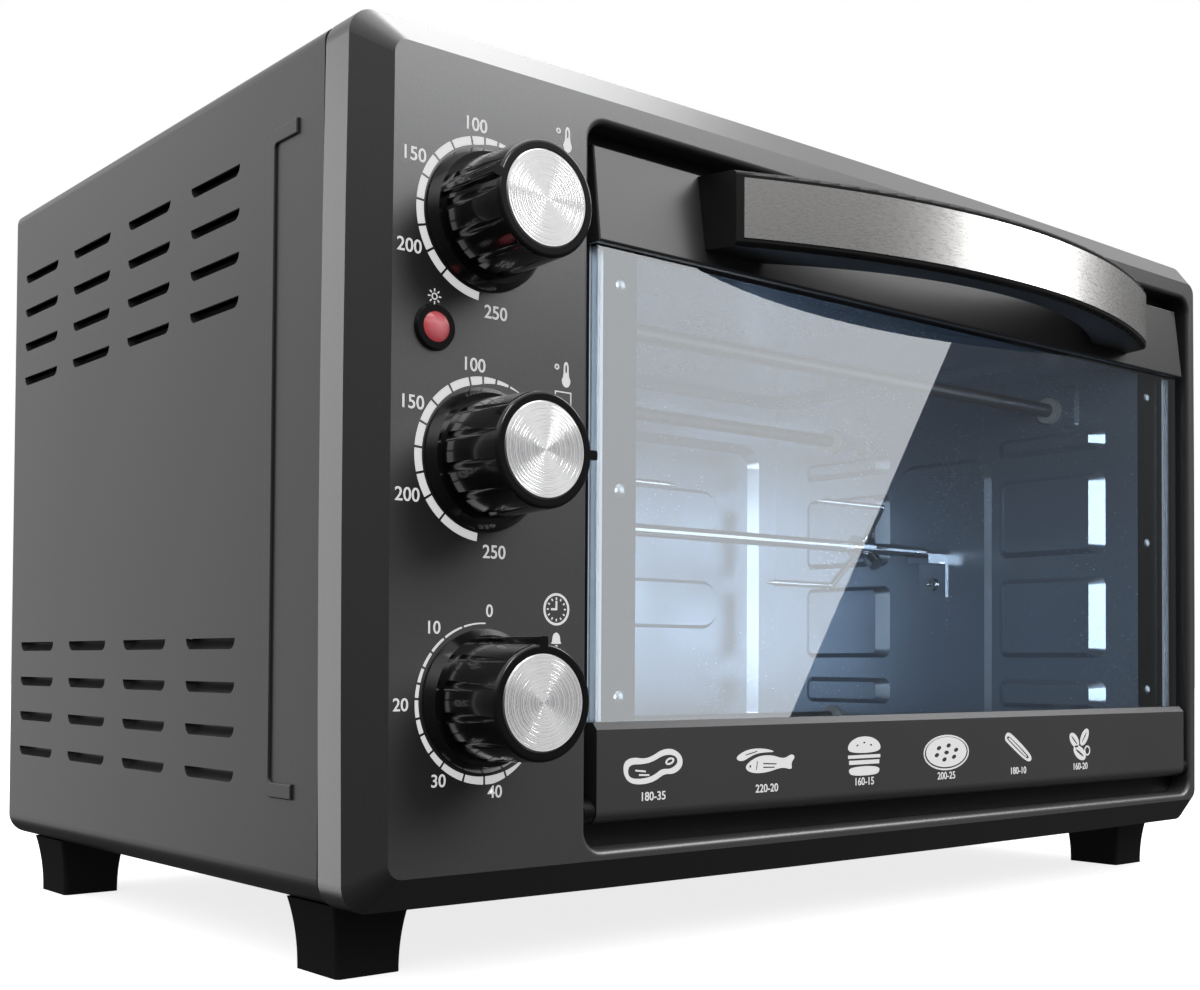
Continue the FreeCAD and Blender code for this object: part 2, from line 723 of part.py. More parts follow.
def side_wall():
    """A side wall lying in the XZ plane. Pressed pads leave grooves between them for a tray."""
    body = box(0, cavity_depth, 0, liner, 0, cavity_height)
    pad0 = guide_front_margin + guide_length
    pad1 = cavity_depth - guide_rear_margin - guide_length
    guides = 1 + int((cavity_height - guide_first_z - guide_top_room) / guide_pitch)
    wide, tall = stud_size
    along, above = stud_place
    grooves = [guide_first_z + i * guide_pitch for i in range(guides)]
    ends = [heater_floor_gap + bush_radius + 2.0]
    for z in grooves:
        ends += [z - guide_height / 2, z + guide_height / 2]
    ends.append(ends[-1] + guide_top_pad)
    for a in (guide_front_margin, pad1):
        for low, high in zip(ends[::2], ends[1::2]):
            body = pressed(body, a, a + guide_length, low, high, min(guide_corner, (high - low) / 3),
                           0, liner, guide_press, guide_slope)
        stud_z = grooves[-1] + above
        body = pressed(body, a + along, a + along + wide, stud_z, stud_z + tall, 4.0, 0,
                       liner, stud_press, 1.5)
    body = pressed(body, pad0 + pad_gap, pad1 - pad_gap, pad_low_margin,
                   cavity_height - pad_top_margin, pad_corner, 0, liner, pad_press, 2.5)
    holes = [rod(bush_barrel, V(y - cav_y0, -reach_through, z - cav_z0),
                 V(y - cav_y0, reach_through, z - cav_z0))
             for y, z in heater_places()]
    return body.cut(holes)


def heater_places():
    for y in (cav_y0 + heater_front_margin, cav_y1 - heater_rear_margin):
        yield y, cav_z1 - heater_roof_gap
        yield y, cav_z0 + heater_floor_gap


def right_wall():
    wall = side_wall()
    wall.rotate(V(0, 0, 0), V(0, 0, 1), 90)
    wall = mirror_x(wall, 0)
    wall.translate(V(cav_x1, cav_y0, cav_z0))
    return wall.cut(rod(screw_hole, V(cav_x1 - reach_through, spit_at_y, support_screw_z),
                        V(cav_x1 + reach_through, spit_at_y, support_screw_z)))


def left_wall():
    wall = side_wall()
    wall.rotate(V(0, 0, 0), V(0, 0, 1), 90)
    wall.translate(V(cav_x0, cav_y0, cav_z0))
    hole = rod(socket_radius + 0.8, V(cav_x0 - reach_through, spit_at_y, spit_at_z),
               V(cav_x0 + reach_through, spit_at_y, spit_at_z))
    return wall.cut(hole)


def back_wall():
    body = box(cav_x0 - liner, cav_x1 + liner, cav_y1, cav_y1 + liner, cav_z0 - liner,
               cav_z1 + liner)
    side, low, high = back_pad
    body = pressed(body, cav_x0 + side, cav_x1 - side, cav_z0 + low, cav_z1 - high, pad_corner,
                   cav_y1, liner, -back_press, 5.0)
    for top in (cav_z1 - back_rib_top, cav_z1 - back_rib_top - back_rib_pitch):
        body = pressed(body, cav_x0 + back_rib_inset, cav_x1 - back_rib_inset,
                       top - back_rib_height, top, back_rib_height / 2 - 1, cav_y1 + back_press,
                       liner, back_rib_press, 2.0)
    return body


def cavity_floor():
    flat = box(cav_x0, cav_x1, cav_y0, cav_y1, cav_z0 - liner, cav_z0)
    rim = box(cav_x0, cav_x1, cav_y0, cav_y0 + liner, cav_z0 - floor_rim, cav_z0)
    return join([flat, rim])


def cavity_roof():
    body = box(cav_x0, cav_x1, 0, liner, cav_y0, cav_y1)
    body = pressed(body, cav_x0 + roof_inset, cav_x1 - roof_inset, cav_y0 + roof_inset,
                   cav_y1 - roof_inset, roof_corner, 0, liner, -roof_press, 5.0)
    body.rotate(V(0, 0, 0), V(1, 0, 0), 90)
    body = body.mirror(V(0, 0, 0), V(0, 1, 0))
    body.translate(V(0, 0, cav_z1))
    return body


# ---- door ------------------------------------------------------------------------------------------
def prism(points, x0, x1):
    """Push a closed (y, z) outline along +X."""
    corners = [V(x0, y, z) for y, z in points]
    return Part.Face(Part.makePolygon(corners + corners[:1])).extrude(V(x1 - x0, 0, 0))


def lean_at(z):
    """Y of the top band's sloping front at height z."""
    return door_y0 + door_lean * (z - (door_z1 - top_band_height)) / top_band_height


def top_band():
    z0 = door_z1 - top_band_height
    w = door_wall
    outer = prism([(lean_at(z0), z0), (door_y1, z0), (door_y1, door_z1),
                   (lean_at(door_z1), door_z1)], door_x0, door_x1)
    inner = prism([(lean_at(z0) + w, z0 + w), (door_y1 - w, z0 + w), (door_y1 - w, door_z1 - w),
                   (lean_at(door_z1) + w, door_z1 - w)], door_x0 + w, door_x1 - w)
    slot = box(door_x0 + w, door_x1 - w, glass_y0 - fit_gap / 3, door_y1 - w, z0 - 1, z0 + 2 * w)
    edges = [e for e in outer.Edges if e.BoundBox.XLength > 10 and e.BoundBox.YMax < door_y1 - 1]
    edges += [e for e in outer.Edges if e.BoundBox.XLength < 1 and e.BoundBox.ZLength > 10
              and e.BoundBox.YMin < door_y1 - 1]
    body = outer.makeFillet(band_edge, edges).cut([inner, slot])
    holes = [rod(screw_hole + 0.4, V(x, y_face - 5, handle_z), V(x, door_y0 + door_lean, handle_z))
             for x in handle_screw_places()]
    return body.cut(holes)


def bottom_band():
    z1 = door_z0 + bottom_band_height
    w = door_wall
    r = door_thickness / 2
    bevel = band_bevel

    def form(t):
        front, back, top = door_y0 + t, door_y1 - t, z1 - t
        points = [V(0, front, pivot_z), V(0, front, top - bevel), V(0, front + bevel - 0.2, top),
                  V(0, back, top), V(0, back, pivot_z)]
        edges = [Part.LineSegment(a, b).toShape() for a, b in zip(points, points[1:])]
        edges.append(Part.Arc(points[-1], V(0, pivot_y, pivot_z - r + t), points[0]).toShape())
        face = Part.Face(Part.Wire(edges))
        face.translate(V(door_x0 + t, 0, 0))
        return face.extrude(V(door_x1 - door_x0 - 2 * t, 0, 0))
    slot = box(door_x0 + w, door_x1 - w, glass_y0 - fit_gap / 3, door_y1 - w, z1 - 2 * w, z1 + 1)
    body = form(0.0).cut([form(w), slot])
    blocks = [rod(r - w + 0.01, V(a, pivot_y, pivot_z), V(a + knuckle, pivot_y, pivot_z))
              for a in (door_x0 + w / 2, door_x1 - w / 2 - knuckle)]
    body = join([body] + blocks)
    bores = [rod(pin_radius + run_gap, V(a, pivot_y, pivot_z), V(a + knuckle + 3, pivot_y, pivot_z))
             for a in (door_x0 - 1, door_x1 - knuckle - 2)]
    return body.cut(bores)


def door_glass():
    z0 = door_z0 + bottom_band_height - glass_hold
    z1 = door_z1 - top_band_height + glass_hold
    x0, x1 = door_x0 + door_wall + fit_gap, door_x1 - door_wall - fit_gap
    body = box(x0, x1, glass_y0, glass_y1, z0, z1)
    return body.makeChamfer(0.4, [e for e in body.Edges if e.BoundBox.YLength < 1e-6])


def packing(z0, z1):
    return box(door_x0 + packing_inset, door_x1 - packing_inset, glass_y1, door_y1 - door_wall,
               z0, z1)


def door_rail(x0):
    """Slim channel behind each upright edge of the glass."""
    z0 = door_z0 + bottom_band_height
    z1 = door_z1 - top_band_height
    outer = box(x0, x0 + rail_width, glass_y1, door_y1, z0, z1)
    inner = box(x0 + rail_wall, x0 + rail_width - rail_wall, glass_y1 - 1, door_y1 - rail_back,
                z0 - 1, z1 + 1)
    return outer.cut(inner)


def stay_places():
    return door_x0 + stay_inset, door_x1 - stay_inset


def door_stay(x):
    """Curved stay that slides through the front frame and stops the door when it is open."""
    r0, r1 = stay_radius - stay_width / 2 - 0.5, stay_radius + stay_width / 2 - 0.5
    sweep = open_angle + stay_over
    x0 = x - stay_thickness / 2

    def arc_edge(radius, a0, a1):
        points = [V(x0, pivot_y + radius * math.cos(math.radians(a)),
                    pivot_z + radius * math.sin(math.radians(a))) for a in (a0, (a0 + a1) / 2, a1)]
        return Part.Arc(*points).toShape(), points[0], points[2]
    a1 = stay_top
    a0 = a1 - sweep
    outer, o0, o1 = arc_edge(r1, a0, a1)
    inner, i0, i1 = arc_edge(r0, a0, a1)
    wire = Part.Wire([outer, Part.LineSegment(o1, i1).toShape(), inner,
                      Part.LineSegment(i0, o0).toShape()])
    across = V(stay_thickness, 0, 0)
    blade = Part.Face(wire).extrude(across)
    middle = (r0 + r1) / 2
    tail = V(x0, pivot_y + middle * math.cos(math.radians(a0)),
             pivot_z + middle * math.sin(math.radians(a0)))
    stop = rod(stay_stop, tail, tail + across)
    in_door = box(x - stay_thickness, x + stay_thickness, y_face, door_y1, pivot_z - 2 * r1,
                  pivot_z + 2 * r1)
    return join([blade, stop]).cut(in_door)


def hinge_pin(side):
    """Pin in the recess wall that the door turns on, with its head behind the wall."""
    x = recess_x0 if side < 0 else recess_x1
    inner = x - side * (door_gap_side + knuckle - 1)
    seat = x + side * (lip_wall + fit_gap)
    pin = rod(pin_radius, V(seat, pivot_y, pivot_z), V(inner, pivot_y, pivot_z))
    head = rod(pin_head, V(seat, pivot_y, pivot_z), V(seat + side * pin_head_height, pivot_y, pivot_z))
    return join([pin, head])


def hinge_bush(side):
    x = recess_x0 if side < 0 else recess_x1
    start = V(x, pivot_y, pivot_z)
    end = V(x - side * (door_gap_side - fit_gap), pivot_y, pivot_z)
    beyond = V(side, 0, 0)
    return rod(hinge_bush_radius, start, end).cut(rod(pin_radius, start + beyond, end - beyond))


# ---- handle ------------------------------------------------------------------------------------------
def handle_screw_places():
    return (recess_mid - handle_span / 2 + handle_screw_inset,
            recess_mid + handle_span / 2 - handle_screw_inset)


def handle_bow(offset, half, z):
    """Start, middle and end of the handle's bowed front, set forward by offset."""
    reach = handle_reach - strip_proud
    rise = reach - handle_end_reach
    radius = (rise ** 2 + (handle_span / 2) ** 2) / (2 * rise)
    centre_y = y_face - reach + radius
    grown = radius + offset
    end_y = centre_y - math.sqrt(grown ** 2 - half ** 2)
    return (V(recess_mid - half, end_y, z), V(recess_mid, centre_y - grown, z),
            V(recess_mid + half, end_y, z))


def handle_body():
    z0, z1 = handle_z - handle_height / 2, handle_z + handle_height / 2
    half = handle_span / 2
    front = handle_bow(0.0, half, z0)
    inner_half = half + handle_flare - handle_foot
    left = V(recess_mid - half - handle_flare, door_y1, z0)
    right = V(recess_mid + half + handle_flare, door_y1, z0)
    inner = (V(recess_mid + inner_half, door_y1, z0),
             V(recess_mid, y_face - handle_reach + handle_grip, z0),
             V(recess_mid - inner_half, door_y1, z0))
    wire = Part.Wire([Part.LineSegment(left, front[0]).toShape(), Part.Arc(*front).toShape(),
                      Part.LineSegment(front[2], right).toShape(),
                      Part.LineSegment(right, inner[0]).toShape(), Part.Arc(*inner).toShape(),
                      Part.LineSegment(inner[2], left).toShape()])
    body = Part.Face(wire).extrude(V(0, 0, z1 - z0))
    long_edges = [e for e in body.Edges if e.BoundBox.XLength > half
                  and e.BoundBox.ZLength < 1e-6 and e.BoundBox.YMin < y_face - handle_end_reach]
    body = body.makeFillet(handle_edge, long_edges)
    far, over = door_y1 + handle_foot, handle_foot
    behind = prism([(lean_at(z0 - over), z0 - over), (far, z0 - over), (far, z1 + over),
                    (lean_at(z1 + over), z1 + over)], door_x0, door_x1)
    bores = [rod(handle_bolt, V(x, y_face - reach_through, handle_z), V(x, door_y1, handle_z))
             for x in handle_screw_places()]
    return body.cut([behind, handle_strip()] + bores)


def handle_strip():
    """Brushed strip let into the bowed front and standing slightly proud of it."""
    z = handle_z - strip_height / 2
    half = handle_span / 2 - strip_end
    front = handle_bow(strip_proud, half, z)
    back = handle_bow(strip_proud - strip_thickness, half, z)
    wire = Part.Wire([Part.Arc(*front).toShape(), Part.LineSegment(front[2], back[2]).toShape(),
                      Part.Arc(*back[::-1]).toShape(), Part.LineSegment(back[0], front[0]).toShape()])
    return Part.Face(wire).extrude(V(0, 0, strip_height))


# ---- dials -------------------------------------------------------------------------------------------
def knob(z, pointer):
    """Fluted knob with a skirt and a pointer fin; turned so that the fin points the given way."""
    y_back = y_face - knob_gap
    y_skirt = y_back - skirt_height
    y_front = y_face - knob_reach
    at = V(dial_at_x, 0, z)
    skirt = cone(skirt_radius, skirt_radius - skirt_taper, at + V(0, y_back, 0), at + V(0, y_skirt, 0))
    grip = cone(knob_base_radius, knob_front_radius, at + V(0, y_skirt, 0), at + V(0, y_front, 0))
    rim = [e for e in grip.Edges if abs(e.BoundBox.YMax - y_front) < 1e-6]
    grip = grip.makeFillet(knob_edge, rim)
    grooves = []
    for i in range(knob_flutes):
        a = math.radians((i + 0.5) * 360 / knob_flutes)
        at_groove = at + V(math.cos(a), 0, math.sin(a)) * (knob_base_radius + flute_radius - 1)
        grooves.append(rod(flute_radius, at_groove + V(0, y_skirt - 1.5, 0),
                           at_groove + V(0, y_front - flute_stop, 0)))
    grip = grip.cut(grooves)
    fin = box(dial_at_x + disc_radius + 0.6, dial_at_x + knob_front_radius + fin_proud, y_front,
              y_skirt, z - fin_width / 2, z + fin_width / 2)
    fin = fin.makeFillet(0.7, [e for e in fin.Edges if e.BoundBox.XMin > dial_at_x + knob_front_radius
                               and e.BoundBox.YLength > 5])
    body = join([skirt, grip, fin])
    hollow = rod(skirt_radius - skirt_wall, at + V(0, y_back + 1, 0),
                 at + V(0, y_back - skirt_hollow, 0))
    seat = rod(disc_radius + 0.1, at + V(0, y_front - 1, 0), at + V(0, y_front + disc_thickness, 0))
    bore = rod(shaft_radius, at + V(0, y_back + 1, 0), at + V(0, y_front + shaft_end, 0))
    body = body.cut([hollow, seat, bore])
    body.rotate(at, V(0, -1, 0), pointer)
    return body


def knob_disc(z):
    y_front = y_face - knob_reach
    at = V(dial_at_x, 0, z)
    disc = rod(disc_radius, at + V(0, y_front + disc_thickness, 0), at + V(0, y_front - disc_proud, 0))
    return disc.makeChamfer(disc_edge, [e for e in disc.Edges if e.BoundBox.YMax < y_front])


def shaft(z):
    at = V(dial_at_x, 0, z)
    return rod(shaft_radius, at + V(0, y_face + control_back - 2, 0),
               at + V(0, y_face - knob_reach + shaft_end, 0))


def control_body(z, timer):
    """Thermostat or timer, with the mounting plate and bush that its shaft turns in."""
    y0 = y_face + sheet
    plate_x, plate_z = mount_plate_size
    mount_plate = box(dial_at_x - plate_x / 2, dial_at_x + plate_x / 2, y0, y0 + control_wall,
                      z - plate_z / 2, z + plate_z / 2)
    at = V(dial_at_x, 0, z)
    bush = rod(bush_hole, at + V(0, y_face, 0), at + V(0, y0 + 1, 0))
    if timer:
        y1 = y0 + timer_depth
        case = rod(timer_radius, at + V(0, y0 + control_wall, 0), at + V(0, y1, 0))
        bell = cone(timer_radius - 2, timer_radius - bell_depth, at + V(0, y1, 0),
                    at + V(0, y1 + bell_depth, 0))
        body = join([mount_plate, bush, case, bell])
    else:
        y1 = y0 + control_back
        half_x, half_z = thermostat_size[0] / 2, thermostat_size[1] / 2
        case = box(dial_at_x - half_x, dial_at_x + half_x, y0 + control_wall, y1, z - half_z,
                   z + half_z)
        tab_z = half_z - terminal_size[0] + 3
        tabs = [box(dial_at_x - half_x / 4, dial_at_x + half_x / 4, y1, y1 + terminal_length,
                    z + s * tab_z - sheet / 2, z + s * tab_z + sheet / 2) for s in (-1, 1)]
        body = join([mount_plate, bush, case] + tabs)
    holes = [rod(control_screw_radius, at + V(x, y_face - 1, 0), at + V(x, y_face + reach_through, 0))
             for x in (-control_screw_x, control_screw_x)]
    bore = rod(shaft_radius + run_gap, at + V(0, y_face - 1, 0), at + V(0, y_face + control_back, 0))
    return body.cut(holes + [bore])


def indicator_collar():
    at = V(lamp_at.x, 0, lamp_at.z)
    y1 = y_face + lamp_barrel
    half = lamp_radius * 0.43
    ring = cone(lamp_collar, lamp_collar - 0.6, at + V(0, y_face, 0),
                at + V(0, y_face - lamp_collar_height, 0))
    barrel = rod(lamp_radius, at + V(0, y_face, 0), at + V(0, y1, 0))
    well = rod(lamp_radius - lamp_wall, at + V(0, y_face - 2 * lamp_collar_height, 0),
               at + V(0, y_face + lamp_well, 0))
    pins = [box(at.x - half, at.x + half, y1, y1 + lamp_pin_length, at.z + s * half - 0.3,
                at.z + s * half + 0.3) for s in (-1, 1)]
    return join([ring, barrel] + pins).cut(well)


def indicator_lens():
    at = V(lamp_at.x, 0, lamp_at.z)
    r, big = lamp_radius - lamp_wall, lens_bulge
    y_rim = y_face - lamp_collar_height
    stem = rod(r, at + V(0, y_face + lamp_well, 0), at + V(0, y_rim, 0))
    ball = Part.makeSphere(big, at + V(0, y_rim + math.sqrt(big ** 2 - r ** 2), 0))
    dome = ball.common(box(at.x - big, at.x + big, y_rim - big, y_rim, at.z - big, at.z + big))
    return join([stem, dome])


# ---- heating -----------------------------------------------------------------------------------------
def heater(y, z):
    x0, x1 = cav_x0 - heater_end, cav_x1 + heater_end
    long, thin, wide = terminal_size
    tube = rod(heater_radius, V(x0, y, z), V(x1, y, z))
    tabs = [box(x, x + long, y - thin / 2, y + thin / 2, z - wide / 2, z + wide / 2)
            for x in (x0 - long, x1)]
    return join([tube] + tabs)


def heater_bush(side, y, z):
    x = cav_x0 if side < 0 else cav_x1
    inner = rod(bush_radius, V(x, y, z), V(x - side * bush_flange, y, z))
    barrel = rod(bush_barrel, V(x, y, z), V(x + side * (liner + bush_length), y, z))
    bore = rod(heater_radius, V(x - side * reach_through, y, z), V(x + side * heater_end, y, z))
    return join([inner, barrel]).cut(bore)


# ---- rotisserie ----------------------------------------------------------------------------------------
def spit_rod():
    y, z = spit_at_y, spit_at_z
    x0, x1 = cav_x0 + 2.0, cav_x1 - 4.0
    neck = V(x1 - spit_point, y, z)
    body = rod(spit_radius, V(x0 + spit_square_length - 2, y, z), neck)
    tip = cone(spit_radius, spit_point_tip, neck, V(x1, y, z))
    half = spit_square / 2
    square = box(x0, x0 + spit_square_length, y - half, y + half, z - half, z + half)
    return join([body, tip, square])


def drive_socket():
    y, z = spit_at_y, spit_at_z
    x0, x1 = cav_x0 - socket_length[0], cav_x0 + socket_length[1]
    body = rod(socket_radius, V(x0, y, z), V(x1, y, z))
    half = spit_square / 2 + 0.1
    square = box(cav_x0 + 1, x1 + 1, y - half, y + half, z - half, z + half)
    mouth = cone(spit_radius + 0.1, spit_radius + 1.5, V(x1 - 1.2, y, z), V(x1 + 0.1, y, z))
    neck = rod(spit_radius + 0.1, V(x1 - 0.1, y, z), V(x1 + 1, y, z))
    bore = rod(motor_shaft, V(x0 - 1, y, z), V(x0 + socket_length[0] - 2, y, z))
    return body.cut([square, mouth, neck, bore])


def drive_shaft():
    y, z = spit_at_y, spit_at_z
    return rod(motor_shaft, V(cav_x0 - partition_gap - 14, y, z), V(cav_x0 - 2.0, y, z))


def spit_motor():
    y, z = spit_at_y, spit_at_z
    x1 = cav_x0 - partition_gap - liner
    mid = y - motor_offset
    x0 = x1 - gearbox_length
    ear = motor_ear + motor_ear_end
    gearbox = rod(gearbox_radius, V(x0, mid, z), V(x1, mid, z))
    can = rod(motor_radius, V(x0 - motor_length, mid, z), V(x0, mid, z))
    ears = box(x1 - motor_ear_thickness, x1, mid - ear, mid + ear, z - motor_ear_end,
               z + motor_ear_end)
    bore = rod(motor_shaft + run_gap, V(x1 - 16, y, z), V(x1 + 2, y, z))
    return join([gearbox, can, ears]).cut([bore] + motor_screw_holes(x1))


def motor_screw_holes(x):
    return [rod(screw_hole, V(x - 3, spit_at_y - motor_offset + s, spit_at_z),
                V(x + 3, spit_at_y - motor_offset + s, spit_at_z)) for s in (-motor_ear, motor_ear)]


def partition_plate():
    x1 = cav_x0 - partition_gap
    y0, y1 = y_inside, y_inner_rear
    z0, z1 = casing_z0 + 2 * sheet, casing_z1 - sheet - fit_gap
    body = box(x1 - liner, x1, y0, y1, z0, z1)
    foot_flange = box(x1 - partition_flange, x1 - liner / 2, y0, y1, z0, z0 + liner)
    holes = [rod(motor_shaft + 1.0, V(x1 - 3, spit_at_y, spit_at_z),
                 V(x1 + 3, spit_at_y, spit_at_z))]
    holes += motor_screw_holes(x1)
    for y, z in heater_places():
        holes.append(rod(heater_clearance, V(x1 - 3, y, z), V(x1 + 3, y, z)))
    return join([body, foot_flange]).cut(holes)


def fork(side):
    """Hub and two tines; side -1 stands near the drive, +1 near the support."""
    y, z = spit_at_y, spit_at_z
    x = cav_x0 + fork_inset if side < 0 else cav_x1 - fork_inset
    hub = rod(hub_radius, V(x - hub_length / 2, y, z), V(x + hub_length / 2, y, z))
    pieces = [hub]
    a = math.radians(fork_angle)
    for sign in (-1, 1):
        out = V(0, math.cos(a), math.sin(a)) * sign
        root = V(x, y, z) + out * spit_radius
        knee = V(x - side * 4, y, z) + out * fork_spread
        tip = V(x - side * fork_length, y, z) + out * fork_spread
        pieces += [rod(tine_radius, root, knee), Part.makeSphere(tine_radius, knee),
                   rod(tine_radius, knee, tip),
                   cone(tine_radius, 0.3, tip, tip + V(-side * fork_point, 0, 0))]
    bore = rod(spit_radius, V(x - hub_length, y, z), V(x + hub_length, y, z))
    screw_axis = V(0, math.cos(a + math.pi / 2), math.sin(a + math.pi / 2))
    thread = rod(fork_thread, V(x, y, z), V(x, y, z) + screw_axis * (hub_radius + 3))
    return join(pieces).cut([bore, thread])


def thumbscrew(side):
    x = cav_x0 + fork_inset if side < 0 else cav_x1 - fork_inset
    a = math.radians(fork_angle) + math.pi / 2
    axis = V(0, math.cos(a), math.sin(a))
    centre = V(x, spit_at_y, spit_at_z)
    near, far = thumb_reach
    stem = rod(fork_thread, centre + axis * spit_radius, centre + axis * (near + 1))
    head = rod(thumb_radius, centre + axis * near, centre + axis * far)
    return join([stem, head])


def spit_support():
    """Ledge with a half-round cradle, screwed to the right wall."""
    y, z = spit_at_y, spit_at_z
    x1 = cav_x1 - pad_press
    leaf_y, leaf_z = support_leaf_size
    ledge_y, ledge_z = support_ledge_size
    top = z - support_ledge_top
    leaf = box(x1 - support_leaf, x1, y - leaf_y / 2, y + leaf_y / 2, top - ledge_z + 1 - leaf_z,
               top - ledge_z + 1)
    ledge = box(x1 - support_arm, x1, y - ledge_y / 2, y + ledge_y / 2, top - ledge_z, top)
    cradle = rod(spit_radius + support_clearance, V(x1 - 2 * support_arm, y, z), V(x1 + 3, y, z))
    hole = rod(screw_hole, V(x1 - 3, y, support_screw_z), V(x1 + 3, y, support_screw_z))
    return join([leaf, ledge]).cut([cradle, hole])


# ---- assembly ------------------------------------------------------------------------------------------
save("front_frame", front_frame())
save("outer_casing", casing())
save("base_panel", base_panel())
save("back_panel", back_panel())
save("cord_inlet", cord_inlet())
save("back_screws", [screw(V(x, y_rear - back_recess, z), V(0, 1, 0)) for x, z in back_screw_places()])
for x, y, name in foot_places():
    save("foot_" + name, foot(x, y))
save("foot_screws", [screw(V(x, y, foot_height - foot_roof), V(0, 0, -1), foot_bolt - 0.1, 4.2, 2.2,
                           2 * foot_roof)
                     for x, y, _ in foot_places()])
save("cavity_front_frame", cavity_front_frame())
save("frame_rivets", [rivet(x, z) for x, z in rivet_places()])
save("cavity_wall_right", right_wall())
save("cavity_wall_left", left_wall())
save("cavity_wall_back", back_wall())
save("cavity_floor", cavity_floor())
save("cavity_roof", cavity_roof())
save("partition_plate", partition_plate())
save("door_top_band", top_band())
save("door_bottom_band", bottom_band())
save("door_glass", door_glass())
save("glass_packing", [packing(door_z1 - top_band_height + packing_edge,
                               door_z1 - top_band_height + glass_hold),
                       packing(door_z0 + bottom_band_height - glass_hold,
                               door_z0 + bottom_band_height - packing_edge)])
save("door_rail_left", door_rail(door_x0 + door_wall + rail_inset))
save("door_rail_right", door_rail(door_x1 - door_wall - rail_inset - rail_width))
save("door_stays", [door_stay(x) for x in stay_places()])
save("hinge_pins", [hinge_pin(side) for side in (-1, 1)])
save("hinge_bushes", [hinge_bush(side) for side in (-1, 1)])
save("handle_body", handle_body())
save("handle_strip", handle_strip())
save("handle_screws", [screw(V(x, lean_at(handle_z) + door_wall + 0.4, handle_z), V(0, 1, 0),
                             handle_bolt, 3.2, 1.4, 9.0) for x in handle_screw_places()])
for name, z, pointer in zip(dial_names, dial_zs, dial_pointer):
    save("knob_" + name, knob(z, pointer))
    save("knob_disc_" + name, knob_disc(z))
    save("shaft_" + name, shaft(z))
save("thermostat_upper", control_body(dial_zs[0], False))
save("thermostat_middle", control_body(dial_zs[1], False))
save("timer", control_body(dial_zs[2], True))
save("control_screws", [screw(V(dial_at_x + x, y_face, z), V(0, -1, 0), control_screw_radius, 2.8,
                              0.9, 5.0)
                        for z in dial_zs for x in (-control_screw_x, control_screw_x)])
save("indicator_collar", indicator_collar())
save("indicator_lens", indicator_lens())
for name, (y, z) in zip(("upper_front", "lower_front", "upper_rear", "lower_rear"), heater_places()):
    save("heater_" + name, heater(y, z))
save("heater_bushes", [heater_bush(side, y, z) for side in (-1, 1) for y, z in heater_places()])
save("spit_rod", spit_rod())
save("drive_socket", drive_socket())
save("drive_shaft", drive_shaft())
save("spit_motor", spit_motor())
save("spit_fork_left", fork(-1))
save("spit_fork_right", fork(1))
save("fork_thumbscrews", [thumbscrew(-1), thumbscrew(1)])
save("spit_support", spit_support())
save("spit_screws", [screw(V(cav_x1 - pad_press - support_leaf, spit_at_y, support_screw_z),
                           V(-1, 0, 0), screw_hole, 3.4, 1.6, 8.0)]
     + [screw(V(cav_x0 - partition_gap - liner - motor_ear_thickness,
                spit_at_y - motor_offset + s, spit_at_z),
              V(-1, 0, 0), screw_hole, 3.4, 1.6, 5.0) for s in (-motor_ear, motor_ear)])
print(len(saved), "nodes")
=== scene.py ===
# %% [markdown]
# # A countertop oven with a spit, dressed for its picture
# The steel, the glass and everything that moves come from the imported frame. This lesson adds what
# a maker would add last: the finishes, the turned faces of the knobs and the white printing.
# Everything is in metres, +Z is up and the door faces -Y.

# %% Load the frame
import json
import math

import bmesh
import bpy
from mathutils import Matrix, Vector


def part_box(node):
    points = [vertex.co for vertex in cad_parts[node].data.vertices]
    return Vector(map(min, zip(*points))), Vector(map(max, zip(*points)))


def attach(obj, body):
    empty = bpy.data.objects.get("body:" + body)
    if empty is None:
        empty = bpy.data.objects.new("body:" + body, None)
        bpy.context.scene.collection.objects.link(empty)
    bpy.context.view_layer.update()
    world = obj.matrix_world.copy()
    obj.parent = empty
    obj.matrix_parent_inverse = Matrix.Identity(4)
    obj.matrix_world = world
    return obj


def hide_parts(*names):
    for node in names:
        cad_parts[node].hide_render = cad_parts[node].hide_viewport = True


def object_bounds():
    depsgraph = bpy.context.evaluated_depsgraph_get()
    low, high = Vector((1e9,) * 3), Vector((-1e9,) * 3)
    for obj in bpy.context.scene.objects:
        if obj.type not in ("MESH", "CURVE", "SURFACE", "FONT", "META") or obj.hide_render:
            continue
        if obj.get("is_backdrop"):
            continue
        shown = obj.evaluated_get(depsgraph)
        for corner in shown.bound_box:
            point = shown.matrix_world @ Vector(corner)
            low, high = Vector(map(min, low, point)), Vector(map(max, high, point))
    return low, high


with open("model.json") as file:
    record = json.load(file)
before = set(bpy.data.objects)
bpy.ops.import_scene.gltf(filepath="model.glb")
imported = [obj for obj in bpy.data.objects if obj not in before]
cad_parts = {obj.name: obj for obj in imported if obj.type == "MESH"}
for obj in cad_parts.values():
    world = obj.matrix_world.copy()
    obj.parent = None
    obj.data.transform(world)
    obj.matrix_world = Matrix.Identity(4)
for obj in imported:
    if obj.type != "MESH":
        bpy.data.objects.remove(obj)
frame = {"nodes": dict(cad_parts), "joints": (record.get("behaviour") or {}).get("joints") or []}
CAD_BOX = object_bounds()
MM = 0.001

# %% [markdown]
# ## The camera
# A low camera close to one corner makes the front frame tower over the viewer. The camera is
# almost level, so the upright edges stay nearly parallel, and a shift of the film raises the view
# as a photographer's shift lens would. A level camera with shift is easier to match than a tilted
# one, because shift leaves the perspective of the uprights alone.

